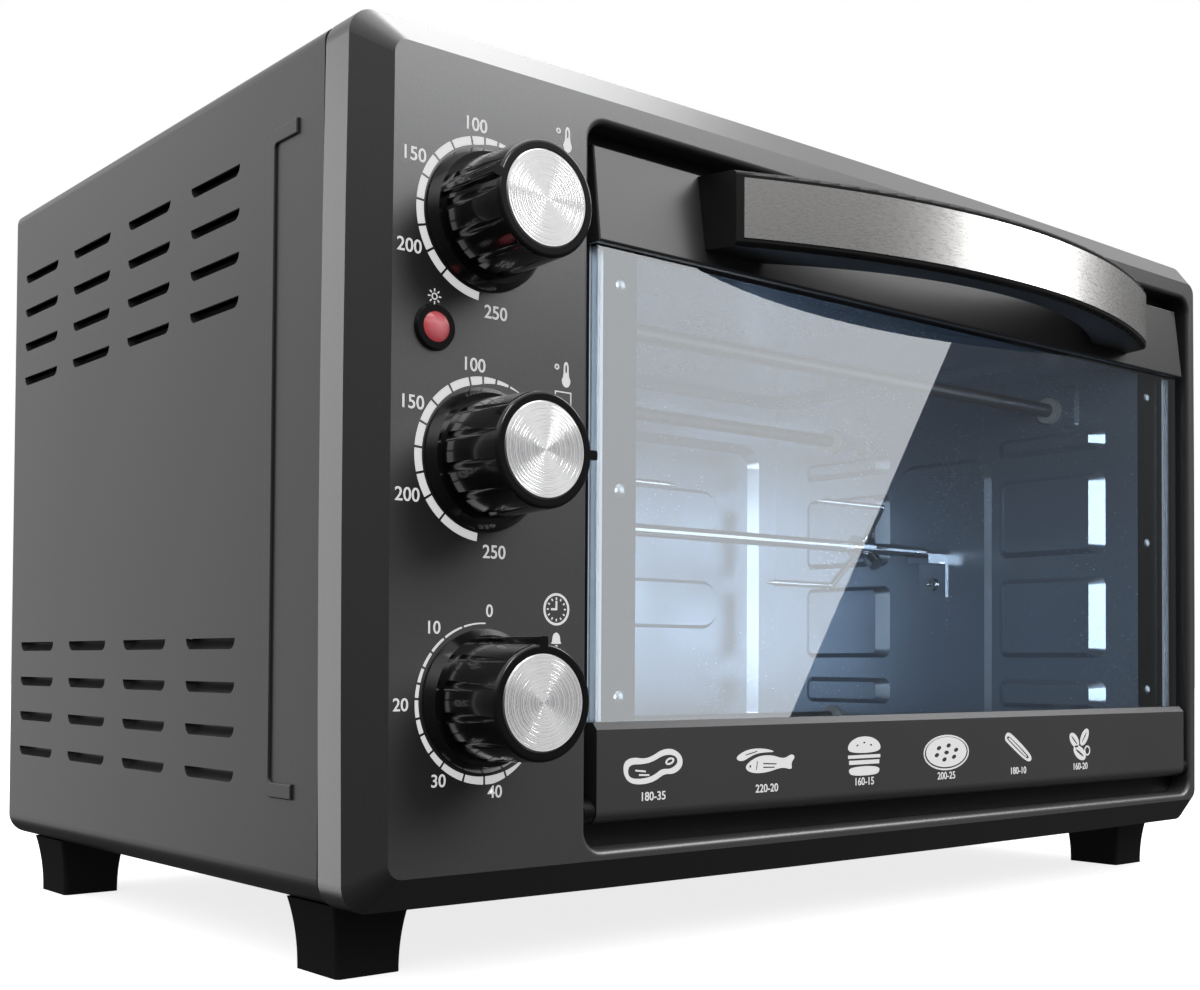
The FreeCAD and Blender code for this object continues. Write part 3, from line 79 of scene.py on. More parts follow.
# %% Camera
CAMERA_PLACE = Vector((-473.56, -534.56, 99.34)) * MM
CAMERA_YAW = math.radians(41.40)
CAMERA_PITCH = math.radians(1.374)
CAMERA_ROLL = math.radians(0.267)
FILM_WIDE = 36
LENS = 46.41
SHIFT = (-0.0563, 0.1099)
NEAREST = 0.01


def camera_axes():
    """The camera's right, up and forward directions."""
    forward = Vector((math.sin(CAMERA_YAW) * math.cos(CAMERA_PITCH),
                      math.cos(CAMERA_YAW) * math.cos(CAMERA_PITCH), math.sin(CAMERA_PITCH)))
    right = Vector((math.cos(CAMERA_YAW), -math.sin(CAMERA_YAW), 0))
    up = right.cross(forward)
    turn = Matrix.Rotation(-CAMERA_ROLL, 3, forward)
    return turn @ right, turn @ up, forward


camera_data = bpy.data.cameras.new("camera")
camera_data.sensor_width = FILM_WIDE
camera_data.lens = LENS
camera_data.shift_x, camera_data.shift_y = SHIFT
camera_data.clip_start = NEAREST
camera = bpy.data.objects.new("camera", camera_data)
bpy.context.scene.collection.objects.link(camera)
right, up, forward = camera_axes()
facing = Matrix((right, up, -forward)).transposed().to_4x4()
camera.matrix_world = Matrix.Translation(CAMERA_PLACE) @ facing
bpy.context.scene.camera = camera
print("camera looks along", [round(x, 3) for x in forward])

# %% [markdown]
# ## Shader maths as Python
# A procedural finish is arithmetic on patterns. Wiring every Math node by hand hides that
# arithmetic, so a small class holds one output of a node and turns + - * into Math nodes. One
# method makes any other node from its type, its settings and what goes into its sockets.


# %% Values and finishes
class Value:
    """One output of a node; arithmetic on it adds the Math nodes."""

    def __init__(self, finish, socket):
        self.finish = finish
        self.socket = socket

    def math(self, operation, *operands):
        return self.finish.node("ShaderNodeMath", {"operation": operation}, dict(enumerate(operands)))

    def __add__(self, other):
        return self.math("ADD", self, other)

    def __sub__(self, other):
        return self.math("SUBTRACT", self, other)

    def __rsub__(self, other):
        return self.math("SUBTRACT", other, self)

    def __mul__(self, other):
        return self.math("MULTIPLY", self, other)

    __radd__ = __add__
    __rmul__ = __mul__


class Finish:
    """A material with the few steps that this oven's finishes share."""

    def __init__(self, name, tree=None):
        self.material = None
        if tree is None:
            self.material = bpy.data.materials.new(name)
            self.material.use_nodes = True
            tree = self.material.node_tree
        self.tree = tree
        self.tree.nodes.clear()

    def node(self, kind, settings=None, sockets=None, give=0):
        node = self.tree.nodes.new(kind)
        for name, setting in (settings or {}).items():
            if name == "stops":
                self.set_stops(node.color_ramp, setting)
            else:
                setattr(node, name, setting)
        for key, value in (sockets or {}).items():
            if isinstance(value, Value):
                self.tree.links.new(value.socket, node.inputs[key])
            else:
                node.inputs[key].default_value = value
        return Value(self, node.outputs[give])

    @staticmethod
    def set_stops(ramp, stops):
        """Stops of a ramp as (position, grey) or (position, (r, g, b))."""
        while len(ramp.elements) < len(stops):
            ramp.elements.new(0.5)
        for element, (position, shade) in zip(ramp.elements, stops):
            element.position = position
            element.color = (*shade, 1) if isinstance(shade, tuple) else (shade, shade, shade, 1)

    def place(self, scale=(1, 1, 1), centre=(0, 0, 0)):
        """Object coordinates, stretched about a centre."""
        coordinates = self.node("ShaderNodeTexCoord", give="Object")
        moved = self.node("ShaderNodeVectorMath", {"operation": "SUBTRACT"},
                          {0: coordinates, 1: tuple(centre)})
        return self.node("ShaderNodeMapping", {}, {"Vector": moved, "Scale": scale})

    def noise(self, scale, detail=3.0, stretch=(1, 1, 1)):
        return self.node("ShaderNodeTexNoise", {},
                         {"Vector": self.place(stretch), "Scale": scale, "Detail": detail})

    def blend(self, share, first, second):
        """A colour between two colours."""
        return self.node("ShaderNodeMix", {"data_type": "RGBA"},
                         {0: share, 6: (*first, 1), 7: (*second, 1)}, give=2)

    def bump(self, height, distance):
        return self.node("ShaderNodeBump", {},
                         {"Height": height, "Distance": distance, "Strength": 1.0}, give="Normal")

    def shader(self, **sockets):
        """A Principled shader; underscores in the names stand for spaces."""
        return self.node("ShaderNodeBsdfPrincipled", {},
                         {name.replace("_", " "): value for name, value in sockets.items()})

    def show(self, shader):
        output = self.tree.nodes.new("ShaderNodeOutputMaterial")
        self.tree.links.new(shader.socket, output.inputs["Surface"])
        return self.material


def tint(colour, share):
    return tuple(channel * share for channel in colour)


# %% [markdown]
# ## Charcoal enamel
# The shell is steel under a satin baked enamel. Enamel has three scales: broad drifts of tone
# over a panel, a fine orange peel that softens reflections, and dark metallic specks. A single
# grey would look like plastic. Noise at three scales on Object coordinates needs no UV map and
# runs unbroken over folds and louvres.


# %% Enamel
PEEL_DEPTH = 0.00002


def enamel(name, colour, roughness):
    finish = Finish(name)
    drift = finish.noise(9.0, 2.0)
    specks = finish.noise(2600.0, 1.0)
    skin = finish.noise(700.0, 2.0)
    tone = drift * 0.35 + specks * 0.65
    shader = finish.shader(
        Base_Color=finish.blend(tone, tint(colour, 0.72), tint(colour, 1.28)),
        Roughness=roughness - 0.05 + drift * 0.06 + specks * 0.05,
        Metallic=0.35,
        Coat_Weight=0.15,
        Coat_Roughness=0.25,
        Normal=finish.bump(skin, PEEL_DEPTH))
    return finish.show(shader)


# %% [markdown]
# ## Sheet steel, turned and drawn metal
# Bare metals differ in how the tool left them. Rolled or brushed sheet has long fine lines one
# way, so its noise is stretched along that way. The same noise feeds colour, roughness and bump,
# because a scratch is darker, duller and lower all at once.


# %% Bare metals
def brushed(name, colour, roughness, stretch, scale=30.0, depth=0.000012, metallic=1.0):
    finish = Finish(name)
    lines = finish.noise(scale, 4.0, stretch)
    clouds = finish.noise(14.0, 2.0)
    shader = finish.shader(
        Base_Color=finish.blend(lines * 0.6 + clouds * 0.4, tint(colour, 0.86), tint(colour, 1.12)),
        Roughness=roughness - 0.08 + lines * 0.12 + clouds * 0.06,
        Metallic=metallic,
        Normal=finish.bump(lines, depth))
    return finish.show(shader)


def plated(name, colour, roughness):
    """Zinc or nickel plate: soft clouds and a faint grain."""
    finish = Finish(name)
    clouds = finish.noise(60.0, 3.0)
    grain = finish.noise(1500.0, 1.0)
    shader = finish.shader(
        Base_Color=finish.blend(clouds, tint(colour, 0.8), tint(colour, 1.15)),
        Roughness=roughness + clouds * 0.1,
        Metallic=1.0,
        Normal=finish.bump(grain, 0.000006))
    return finish.show(shader)


def oxidised(name, colour):
    """A heater's sheath: dark, dull and mottled by heat."""
    finish = Finish(name)
    mottle = finish.noise(220.0, 4.0)
    bands = finish.noise(18.0, 2.0, (1, 0.1, 0.1))
    shader = finish.shader(
        Base_Color=finish.blend(mottle * 0.5 + bands * 0.5, tint(colour, 0.6), tint(colour, 1.5)),
        Roughness=0.38 + mottle * 0.2,
        Metallic=0.85,
        Normal=finish.bump(mottle, 0.00002))
    return finish.show(shader)


# %% [markdown]
# ## Plastics, rubber and ceramic
# Moulded parts take the texture of their mould. The feet and the handle's back are sparked to a
# fine matt, the knobs are polished, and both show it in roughness and bump rather than colour.


# %% Moulded parts
def moulded(name, colour, roughness, grain_scale, grain_depth, coat=0.0):
    finish = Finish(name)
    grain = finish.noise(grain_scale, 2.0)
    flow = finish.noise(25.0, 2.0)
    shader = finish.shader(
        Base_Color=finish.blend(grain * 0.5 + flow * 0.5, tint(colour, 0.8), tint(colour, 1.2)),
        Roughness=roughness + flow * 0.05 + grain * 0.03,
        Coat_Weight=coat,
        Coat_Roughness=0.06,
        Normal=finish.bump(grain, grain_depth))
    return finish.show(shader)


# %% [markdown]
# ## Door glass
# The door is a flat pane of coated glass. Bending light through it costs many samples and leaves
# the oven dark, and a flat pane barely moves what is behind it. So the pane is a mix: mostly
# see-through with a cool tint, and mirror-like by Fresnel, which rises towards grazing angles.
# Fresnel seen from inside a slab turns into total reflection, so the mirror is kept to the faces
# that look at the viewer.


# %% Glass
COATED_GLASS_IOR = 2.4
CAP_RADIUS = 7 * MM


def pane(name, colour):
    finish = Finish(name)
    smears = finish.noise(12.0, 3.0)
    mirror = finish.node("ShaderNodeBsdfAnisotropic", {},
                         {"Color": (0.93, 0.97, 1, 1), "Roughness": smears * 0.02})
    clear = finish.node("ShaderNodeBsdfTransparent", {}, {"Color": (*colour, 1)})
    fresnel = finish.node("ShaderNodeFresnel", {}, {"IOR": COATED_GLASS_IOR})
    inside = finish.node("ShaderNodeNewGeometry", give="Backfacing")
    share = fresnel * (1 - inside)
    mixed = finish.node("ShaderNodeMixShader", {}, {0: share, 1: clear, 2: mirror})
    return finish.show(mixed)


def lamp_cap(name, centre):
    """A clear red cap, painted paler in the middle as a painted highlight, with a faint painted glow."""
    finish = Finish(name)
    from_centre = finish.node("ShaderNodeVectorMath", {"operation": "LENGTH"},
                              {0: finish.place(centre=centre)}, give="Value")
    facets = finish.noise(900.0, 1.0)
    # Painted highlight: the cap's colour and glow turn paler towards its middle.
    share = from_centre * (1 / CAP_RADIUS) + facets * 0.15
    shader = finish.shader(
        Base_Color=finish.blend(share, (1.0, 0.42, 0.45), (0.62, 0.02, 0.04)),
        Roughness=0.16 + facets * 0.08,
        # Painted glow: a faint red emission brightens the cap beyond what the lamps give it, standing in
        # for its highlight.
        Emission_Color=finish.blend(share, (1.0, 0.30, 0.33), (0.45, 0.0, 0.01)),
        Emission_Strength=0.4,
        Coat_Weight=0.8,
        Coat_Roughness=0.05,
        Normal=finish.bump(facets, 0.00003))
    return finish.show(shader)


def ink(name):
    """Screen-printed white with a slightly uneven film, and a painted glow that keeps it bright."""
    finish = Finish(name)
    film = finish.noise(900.0, 2.0)
    shader = finish.shader(
        Base_Color=finish.blend(film, (0.92, 0.92, 0.92), (1.0, 1.0, 1.0)),
        Roughness=0.45 + film * 0.1,
        # Painted glow: the white print gives off light of its own, so it stays bright whatever light
        # falls on it.
        Emission_Color=(1, 1, 1, 1),
        Emission_Strength=0.45,
        Normal=finish.bump(film, 0.000008))
    return finish.show(shader)


# %% [markdown]
# ## Dress the frame
# Each node of the frame keeps its mesh and gets the finish that the real piece has. A table of
# finishes and node names could be replaced by a call for every node, but then a finish that is
# shared by ten pieces would be written ten times.

# %% Finishes on the nodes
lamp_low, lamp_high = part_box("indicator_lens")
LAMP_CENTRE = Vector(((lamp_low.x + lamp_high.x) / 2, lamp_low.y, (lamp_low.z + lamp_high.z) / 2))
ENAMEL = (0.080, 0.080, 0.083)
DRESS = [
    (enamel("charcoal_enamel", ENAMEL, 0.36), "front_frame outer_casing"),
    (enamel("door_enamel", tint(ENAMEL, 0.9), 0.34), "door_top_band door_bottom_band"),
    (enamel("back_black", (0.012, 0.012, 0.013), 0.45), "back_panel"),
    (plated("zinc_plate", (0.50, 0.51, 0.53), 0.32),
     "base_panel partition_plate door_stays hinge_pins"),
    # The cavity's front flange is dark steel. It is darkened further as painted shade for the shadowed
    # gap under the door.
    (brushed("dark_flange_painted_shade", (0.055, 0.055, 0.058), 0.42, (1, 1, 12)), "cavity_front_frame"),
    (brushed("lining_steel", (0.50, 0.56, 0.64), 0.24, (1, 1, 3),
             scale=500.0, depth=0.000002, metallic=0.65),
     "cavity_wall_right cavity_wall_left cavity_wall_back cavity_floor cavity_roof"),
    (plated("screw_plate", (0.62, 0.62, 0.63), 0.22),
     "back_screws foot_screws frame_rivets handle_screws control_screws spit_screws "
     "shaft_upper shaft_middle shaft_timer drive_shaft"),
    (moulded("foot_plastic", (0.010, 0.010, 0.011), 0.42, 1500.0, 0.00003),
     "foot_front_left foot_front_right foot_rear_left foot_rear_right cord_inlet hinge_bushes"),
    (moulded("handle_plastic", (0.008, 0.008, 0.009), 0.30, 1200.0, 0.00001), "handle_body"),
    (moulded("knob_plastic", (0.006, 0.006, 0.007), 0.13, 900.0, 0.000004, coat=0.5),
     "knob_upper knob_middle knob_timer indicator_collar"),
    (brushed("strip_steel", (0.66, 0.65, 0.64), 0.27, (1, 60, 60), depth=0.00002), "handle_strip"),
    (brushed("rail_aluminium", (0.45, 0.46, 0.48), 0.34, (60, 60, 1)),
     "door_rail_left door_rail_right"),
    (pane("door_glass_pane", (0.88, 0.93, 0.97)), "door_glass"),
    (moulded("silicone", (0.02, 0.02, 0.02), 0.5, 800.0, 0.00002), "glass_packing"),
    (lamp_cap("red_cap", LAMP_CENTRE), "indicator_lens"),
    (oxidised("heater_sheath", (0.20, 0.20, 0.21)),
     "heater_upper_front heater_lower_front heater_upper_rear heater_lower_rear"),
    (moulded("steatite", (0.72, 0.70, 0.66), 0.5, 700.0, 0.00003), "heater_bushes"),
    (plated("bright_chrome", (0.80, 0.81, 0.83), 0.08),
     "spit_rod spit_fork_left spit_fork_right fork_thumbscrews drive_socket spit_support"),
    (plated("plated_case", (0.50, 0.50, 0.50), 0.3),
     "thermostat_upper thermostat_middle timer spit_motor"),
]
for material, names in DRESS:
    for name in names.split():
        mesh = frame["nodes"][name].data
        mesh.materials.clear()
        mesh.materials.append(material)
print("dressed", sum(len(names.split()) for _, names in DRESS), "nodes")

# %% [markdown]
# ## Turned knob faces
# Each knob carries an aluminium disc faced on a lathe. Its fan of light comes from fine grooves,
# too small to see one by one. A radial bump would flicker at this size, so the grooves are cut
# for real: a profile of small slopes is spun once round the knob's axis. The slopes differ from
# groove to groove, mostly gentle ones, or the disc would light up in a few hard rings.

# %% Knob discs
DISC_GROOVES = 90
DISC_STEPS = 128
GENTLE, STEEP = math.radians(3), math.radians(26)
SLOPE_STRIDE = 0.618
SLOPE_BIAS = 1.5
RIM_WIDE = 0.5 * MM
RIM_DROP = 0.4 * MM
WELD = 1e-7


def new_piece(name, bm, material, body):
    """A finished mesh as an object that rides on a body."""
    mesh = bpy.data.meshes.new(name)
    bm.to_mesh(mesh)
    bm.free()
    mesh.materials.append(material)
    piece = bpy.data.objects.new(name, mesh)
    bpy.context.scene.collection.objects.link(piece)
    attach(piece, body)
    return piece


def turned_disc(node):
    """A lathe-faced disc in the space of a knob's plain disc."""
    low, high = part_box(node)
    centre = Vector(((low.x + high.x) / 2, 0, (low.z + high.z) / 2))
    radius = (high.x - low.x) / 2
    bm = bmesh.new()
    edge = radius - RIM_WIDE
    half_groove = edge / (2 * DISC_GROOVES)
    profile = [Vector((0, low.y, 0))]
    for i in range(DISC_GROOVES):
        slope = GENTLE + (STEEP - GENTLE) * (i * SLOPE_STRIDE % 1) ** SLOPE_BIAS
        start = edge * i / DISC_GROOVES
        profile.append(Vector((start + half_groove, low.y + half_groove * math.tan(slope), 0)))
        profile.append(Vector((start + 2 * half_groove, low.y, 0)))
    profile += [Vector((radius, low.y + RIM_DROP, 0)), Vector((radius, high.y, 0)),
                Vector((0, high.y, 0))]
    verts = [bm.verts.new(point) for point in profile]
    edges = [bm.edges.new(pair) for pair in zip(verts, verts[1:])]
    bmesh.ops.spin(bm, geom=verts + edges, cent=(0, 0, 0), axis=(0, 1, 0), angle=math.tau,
                   steps=DISC_STEPS, use_merge=True)
    bmesh.ops.remove_doubles(bm, verts=bm.verts, dist=WELD)
    bmesh.ops.recalc_face_normals(bm, faces=bm.faces)
    bmesh.ops.translate(bm, verts=bm.verts, vec=centre)
    return bm


def turned_metal(name, colour):
    finish = Finish(name)
    streaks = finish.noise(260.0, 3.0)
    shader = finish.shader(
        Base_Color=finish.blend(streaks, tint(colour, 0.93), tint(colour, 1.05)),
        Roughness=0.17 + streaks * 0.05,
        Metallic=1.0)
    return finish.show(shader)


DIALS = ("upper", "middle", "timer")
knob_faces = []
disc_metal = turned_metal("turned_aluminium", (0.80, 0.80, 0.81))
for dial in DIALS:
    plain_disc = "knob_disc_" + dial
    disc = new_piece("knob_face_" + dial, turned_disc(plain_disc), disc_metal, "dial_" + dial)
    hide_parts(plain_disc)
    knob_faces.append(disc)
print("turned", len(DIALS), "knob faces with", DISC_GROOVES, "grooves each")

# %% [markdown]
# ## White printing
# The scales are screen-printed on the panel. Printing could be a texture, but then it would need
# an image or a painted pattern. Thin raised meshes are crisp at any distance. A band is one short
# edge spun round the dial's centre, and its taper is given afterwards by moving the inner row of
# vertices.

# %% Where the printing goes
face_low, face_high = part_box("front_frame")
FACE_Y = face_low.y
INK_LIFT = 0.04 * MM
INK_HALF = 0.05 * MM
white = ink("white_ink")
TURNS = {joint["name"].split("_dial")[0]: Vector(joint["pos_m"]) for joint in frame["joints"]
         if joint["name"].endswith("dial_turn")}


def on_front(x, y, z):
    """From a drawing's right, up and out to the oven's own axes."""
    return Matrix.Translation((x, y - INK_LIFT, z)) @ Matrix.Rotation(math.radians(90), 4, "X")


# %% Bands of a scale
def band(bm, start, end, inner, outer, step=2.5):
    """One segment of a ring. inner and outer give a radius in mm at an angle in degrees."""
    count = max(2, round((end - start) / step))
    earlier = set(bm.verts)
    inside, outside = bm.verts.new((1, 0, 0)), bm.verts.new((2, 0, 0))
    edge = bm.edges.new((inside, outside))
    bmesh.ops.spin(bm, geom=[inside, outside, edge], cent=(0, 0, 0), axis=(0, 0, 1),
                   angle=math.radians(end - start), steps=count)
    for v in set(bm.verts) - earlier:
        angle = start + math.degrees(math.atan2(v.co.y, v.co.x)) % 360
        radius = inner(angle) if v.co.length < 1.5 else outer(angle)
        turned = math.radians(angle)
        v.co = Vector((math.cos(turned), math.sin(turned), 0)) * radius * MM


def scale_ring(name, marks, gap, inner, outer, centre):
    """The segments between a list of marks, all in one raised piece on the panel."""
    bm = bmesh.new()
    for start, end in zip(marks, marks[1:]):
        band(bm, start + gap, end - gap, inner, outer)
    bmesh.ops.translate(bm, verts=bm.verts, vec=(0, 0, INK_HALF))
    bmesh.ops.recalc_face_normals(bm, faces=bm.faces)
    thick = bmesh.ops.extrude_face_region(bm, geom=bm.faces[:])
    moved = [v for v in thick["geom"] if isinstance(v, bmesh.types.BMVert)]
    bmesh.ops.translate(bm, verts=moved, vec=(0, 0, -2 * INK_HALF))
    bmesh.ops.recalc_face_normals(bm, faces=bm.faces)
    bmesh.ops.transform(bm, verts=bm.verts, matrix=on_front(centre.x, FACE_Y, centre.z))
    new_piece(name, bm, white, "oven_body")


HEAT_MARKS = [58.0, 69.5, 81.0, 92.5, 104.0] + [122.0 + 18.0 * i for i in range(7)] + [264.0]
TIMER_MARKS = [88.0, 109.0, 127.0, 142.0, 155.0, 167.0, 178.0, 192.0, 204.0, 219.0, 232.0, 253.0,
               271.0, 290.0, 307.0, 317.0]
MARK_GAP = 0.9
HEAT_INNER, HEAT_OUTER = 23.5, 26.1
HEAT_TAPER_END = 98.0
HEAT_TIP = 0.12
TIMER_LINE = 24.2
TIMER_WIDEST = 279
TIMER_THIN, TIMER_SWELL, TIMER_TIP = 0.45, 2.2, 0.08
TIMER_CURVE = 1.4
TIMER_INWARD = 0.2


def heat_inner(angle):
    share = min(1.0, (angle - HEAT_MARKS[0]) / (HEAT_TAPER_END - HEAT_MARKS[0]))
    return HEAT_OUTER - (HEAT_OUTER - HEAT_INNER) * max(share, HEAT_TIP)


def timer_width(angle):
    """Thin at the start, widest near the end and pointed at the end itself."""
    if angle < TIMER_WIDEST:
        share = (angle - TIMER_MARKS[0]) / (TIMER_WIDEST - TIMER_MARKS[0])
        return TIMER_THIN + TIMER_SWELL * share ** TIMER_CURVE
    share = (TIMER_MARKS[-1] - angle) / (TIMER_MARKS[-1] - TIMER_WIDEST)
    return (TIMER_THIN + TIMER_SWELL) * max(TIMER_TIP, share)


for dial in ("upper", "middle"):
    scale_ring("scale_" + dial, HEAT_MARKS, MARK_GAP, heat_inner, lambda a: HEAT_OUTER, TURNS[dial])
scale_ring("scale_timer", TIMER_MARKS, MARK_GAP,
           lambda a: TIMER_LINE - timer_width(a) * TIMER_INWARD,
           lambda a: TIMER_LINE + timer_width(a) * (1 - TIMER_INWARD), TURNS["timer"])
print("scales at", {name: tuple(round(c, 4) for c in place) for name, place in TURNS.items()})

# %% [markdown]
# ## Numbers and small drawings
# A number is a text object made into a mesh before it is placed. A drawing is a flat curve whose
# closed outlines fill by the even-odd rule, so an outline inside another is a hole. That gives
# line drawings from a handful of ovals, bars and smooth outlines.


# %% Numbers
DIGIT_SHARE = 0.72
STROKE_SWELL = 0.05 * MM


def as_mesh(name, data, matrix, body):
    """A text or flat curve as a placed mesh piece."""
    drawn = bpy.data.objects.new(name + "_drawn", data)
    bpy.context.scene.collection.objects.link(drawn)
    bpy.context.view_layer.update()
    graph = bpy.context.evaluated_depsgraph_get()
    mesh = bpy.data.meshes.new_from_object(drawn.evaluated_get(graph))
    bpy.data.objects.remove(drawn)
    mesh.transform(matrix)
    mesh.name = name
    mesh.materials.clear()
    mesh.materials.append(white)
    piece = bpy.data.objects.new(name, mesh)
    bpy.context.scene.collection.objects.link(piece)
    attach(piece, body)


def number(name, text, size, place, body):
    """A number, size mm tall, centred on a place of the front."""
    data = bpy.data.curves.new(name, "FONT")
    data.body = text
    data.size = size * MM / DIGIT_SHARE
    data.align_x = "CENTER"
    data.align_y = "CENTER"
    data.extrude = INK_HALF
    data.offset = STROKE_SWELL
    as_mesh(name, data, on_front(*place), body)


def round_dial(dial, text, angle, radius, size):
    """A number beside a dial, at an angle in degrees and a radius in mm."""
    centre = TURNS[dial]
    x = centre.x + radius * MM * math.cos(math.radians(angle))
    z = centre.z + radius * MM * math.sin(math.radians(angle))
    number(f"mark_{dial}_{text}", text, size, (x, FACE_Y, z), "oven_body")


HEAT_NUMBERS = [("100", 99, 29.6), ("150", 151, 31.0), ("200", 205, 31.4), ("250", 277, 29.4)]
for dial in ("upper", "middle"):
    for text, angle, radius in HEAT_NUMBERS:
        round_dial(dial, text, angle, radius, size=4.3)
TIMER_NUMBERS = [("0", 86, 28.2), ("10", 130, 29.4), ("20", 182, 30.2), ("30", 236, 29.6),
                 ("40", 279, 29.2)]
for text, angle, radius in TIMER_NUMBERS:
    round_dial("timer", text, angle, radius, size=4.0)
print("numbers:", len(HEAT_NUMBERS) * 2 + len(TIMER_NUMBERS))


# %% Outlines for drawings
def round_angles(count, first=0.0):
    """Equal steps round a circle, in radians; first is a share of a step."""
    return [math.tau * (i + first) / count for i in range(count)]


def oval(x, y, wide, high, turn=0.0, count=28):
    """A closed oval about (x, y), in mm."""
    cosine, sine = math.cos(math.radians(turn)), math.sin(math.radians(turn))
    points = []
    for a in round_angles(count):
        u, v = wide / 2 * math.cos(a), high / 2 * math.sin(a)
        points.append((x + u * cosine - v * sine, y + u * sine + v * cosine))
    return ("POLY", points)


def ring(x, y, wide, high, line):
    return [oval(x, y, wide, high), oval(x, y, wide - 2 * line, high - 2 * line)]


def bar(x0, y0, x1, y1, line):
    """A straight stroke with square ends."""
    along = Vector((x1 - x0, y1 - y0)).normalized() * (line / 2)
    side = Vector((-along.y, along.x))
    first, last = Vector((x0, y0)), Vector((x1, y1))
    return ("POLY", [tuple(end) for end in (first + side, first - side, last - side, last + side)])


def spokes(count, start, end, line):
    """Short strokes that point away from the middle."""
    return [bar(start * math.cos(a), start * math.sin(a), end * math.cos(a), end * math.sin(a), line)
            for a in round_angles(count)]


def smooth(*points):
    return ("NURBS", points)


def drawing(name, outlines, place, body):
    """Closed outlines in mm as one raised white drawing."""
    data = bpy.data.curves.new(name, "CURVE")
    data.dimensions = "2D"
    data.fill_mode = "BOTH"
    data.extrude = INK_HALF
    data.resolution_u = 6
    for kind, points in outlines:
        spline = data.splines.new(kind)
        spline.points.add(len(points) - 1)
        for target, (x, y) in zip(spline.points, points):
            target.co = (x * MM, y * MM, 0, 1)
        if kind == "NURBS":
            spline.order_u = 3
        spline.use_cyclic_u = True
    as_mesh(name, data, on_front(*place), body)


# %% Signs on the panel
def thermometer():
    """A stem and bulb beside a small degree ring."""
    return ring(-2.6, 2.2, 1.9, 1.9, 0.5) + [
        smooth((0.2, 4.2), (2.2, 4.2), (2.2, -0.6), (3.2, -2.0), (2.2, -4.2), (0.2, -4.2),
               (-0.8, -2.0), (0.2, -0.6)),
        smooth((0.8, 3.3), (1.6, 3.3), (1.6, 0.4), (0.8, 0.4))]


def clock():
    hands = [bar(0, -0.3, 0, 2.8, 0.7), bar(-2.2, 0, -0.4, 0, 0.7)]
    return ring(0, 0, 10.6, 10.6, 0.8) + spokes(12, 3.1, 3.9, 0.5) + hands


def element_sign(level):
    """An oven outline with its heating line at the top or the bottom."""
    return [bar(-3.4, 0, 3.4, 0, 5.2), bar(-3.0, 0, 3.0, 0, 4.4), bar(-2.3, level, 2.3, level, 0.6)]


def bell():
    return [smooth((-2.4, -1.2), (-1.6, -0.6), (-1.5, 1.6), (0, 2.8), (1.5, 1.6), (1.6, -0.6),
                   (2.4, -1.2)),
            oval(0, -2.0, 1.2, 0.9)]


def lamp_sign():
    return ring(0, 0, 2.2, 2.2, 0.4) + spokes(8, 1.5, 2.4, 0.4)


SIGNS = [("heat_upper", thermometer(), TURNS["upper"], 30.6, 32.9),
         ("heat_middle", thermometer(), TURNS["middle"], 30.6, 30.9),
         ("element_upper", element_sign(1.3), TURNS["upper"], 30.6, 24.4),
         ("element_middle", element_sign(-1.3), TURNS["middle"], 30.6, 22.6),
         ("clock", clock(), TURNS["timer"], 28.4, 29.5),
         ("bell", bell(), TURNS["timer"], 28.4, 19.4),
         ("lamp", lamp_sign(), LAMP_CENTRE, 0, 9.6)]
for name, outlines, centre, across, rise in SIGNS:
    drawing("sign_" + name, outlines, (centre.x + across * MM, FACE_Y, centre.z + rise * MM), "oven_body")
print("signs on the panel:", len(SIGNS))

# %% [markdown]
# ## Food drawings on the door
# Six foods stand in a row on the lower band, each over its temperature and minutes. Their places
# are measured from the band's left end, and the height follows from the band's own box.


# %% Foods
def steak():
    return [smooth((-13.5, -1), (-13, 3), (-9, 4.2), (-4, 3.4), (0, 4.4), (4, 6.4), (9, 6.6), (13.4, 4),
                   (13.6, 0), (9.5, -2.4), (5, -2), (1, -4.4), (-5, -5.4), (-11, -4.6)),
            smooth((-11.6, -0.6), (-10.4, 1.8), (-4.4, 1.6), (0, 2.4), (5, 4.6), (10.4, 4.2), (11.6, 1.4),
                   (8, -0.6), (4, -0.2), (0, -2.6), (-5, -3.4), (-10.4, -3)),
            oval(7.6, 2.2, 4.2, 2.4, 15), oval(7.6, 2.2, 2.6, 1.1, 15),
            bar(-8, -0.4, -3.4, -0.9, 0.6), bar(-6.4, -2, -1.8, -2.2, 0.6)]


def fish():
    body = smooth((-12, -1.4), (-6, 2.2), (2, 2.8), (9, 0.8), (13, 2.8), (15, 1.4), (12.6, -0.6),
                  (13.4, -3.4), (8, -2), (0, -3.8), (-8, -3.8))
    second = smooth((-16.6, 2.2), (-10, 5.2), (-1, 5.2), (5, 3.6), (-2, 3.7), (-7, 3.1), (-13, 0.4))
    return [body, second, oval(-8.6, -1.2, 1.0, 1.0), bar(-5.4, -2.6, -5.0, 0.6, 0.5),
            bar(-2, -0.4, 5, -0.8, 0.45), bar(-2, -1.8, 4, -2.0, 0.45), bar(-11, 3.0, -5, 4.2, 0.4)]


def burger():
    return [smooth((-9.6, 1.6), (-9.4, 5.4), (-4, 8), (4, 8), (9.4, 5.4), (9.6, 1.6)),
            bar(-9.4, 0.2, 9.4, 0.2, 1.3), bar(-8.8, -2, 8.8, -2, 1.6),
            smooth((-9, -3.6), (-8.8, -6.6), (-4, -7.2), (4, -7.2), (8.8, -6.6), (9, -3.6)),
            oval(-4, 4.6, 1.4, 0.7, 20), oval(0, 5.6, 1.4, 0.7, 0), oval(4, 4.6, 1.4, 0.7, -20)]


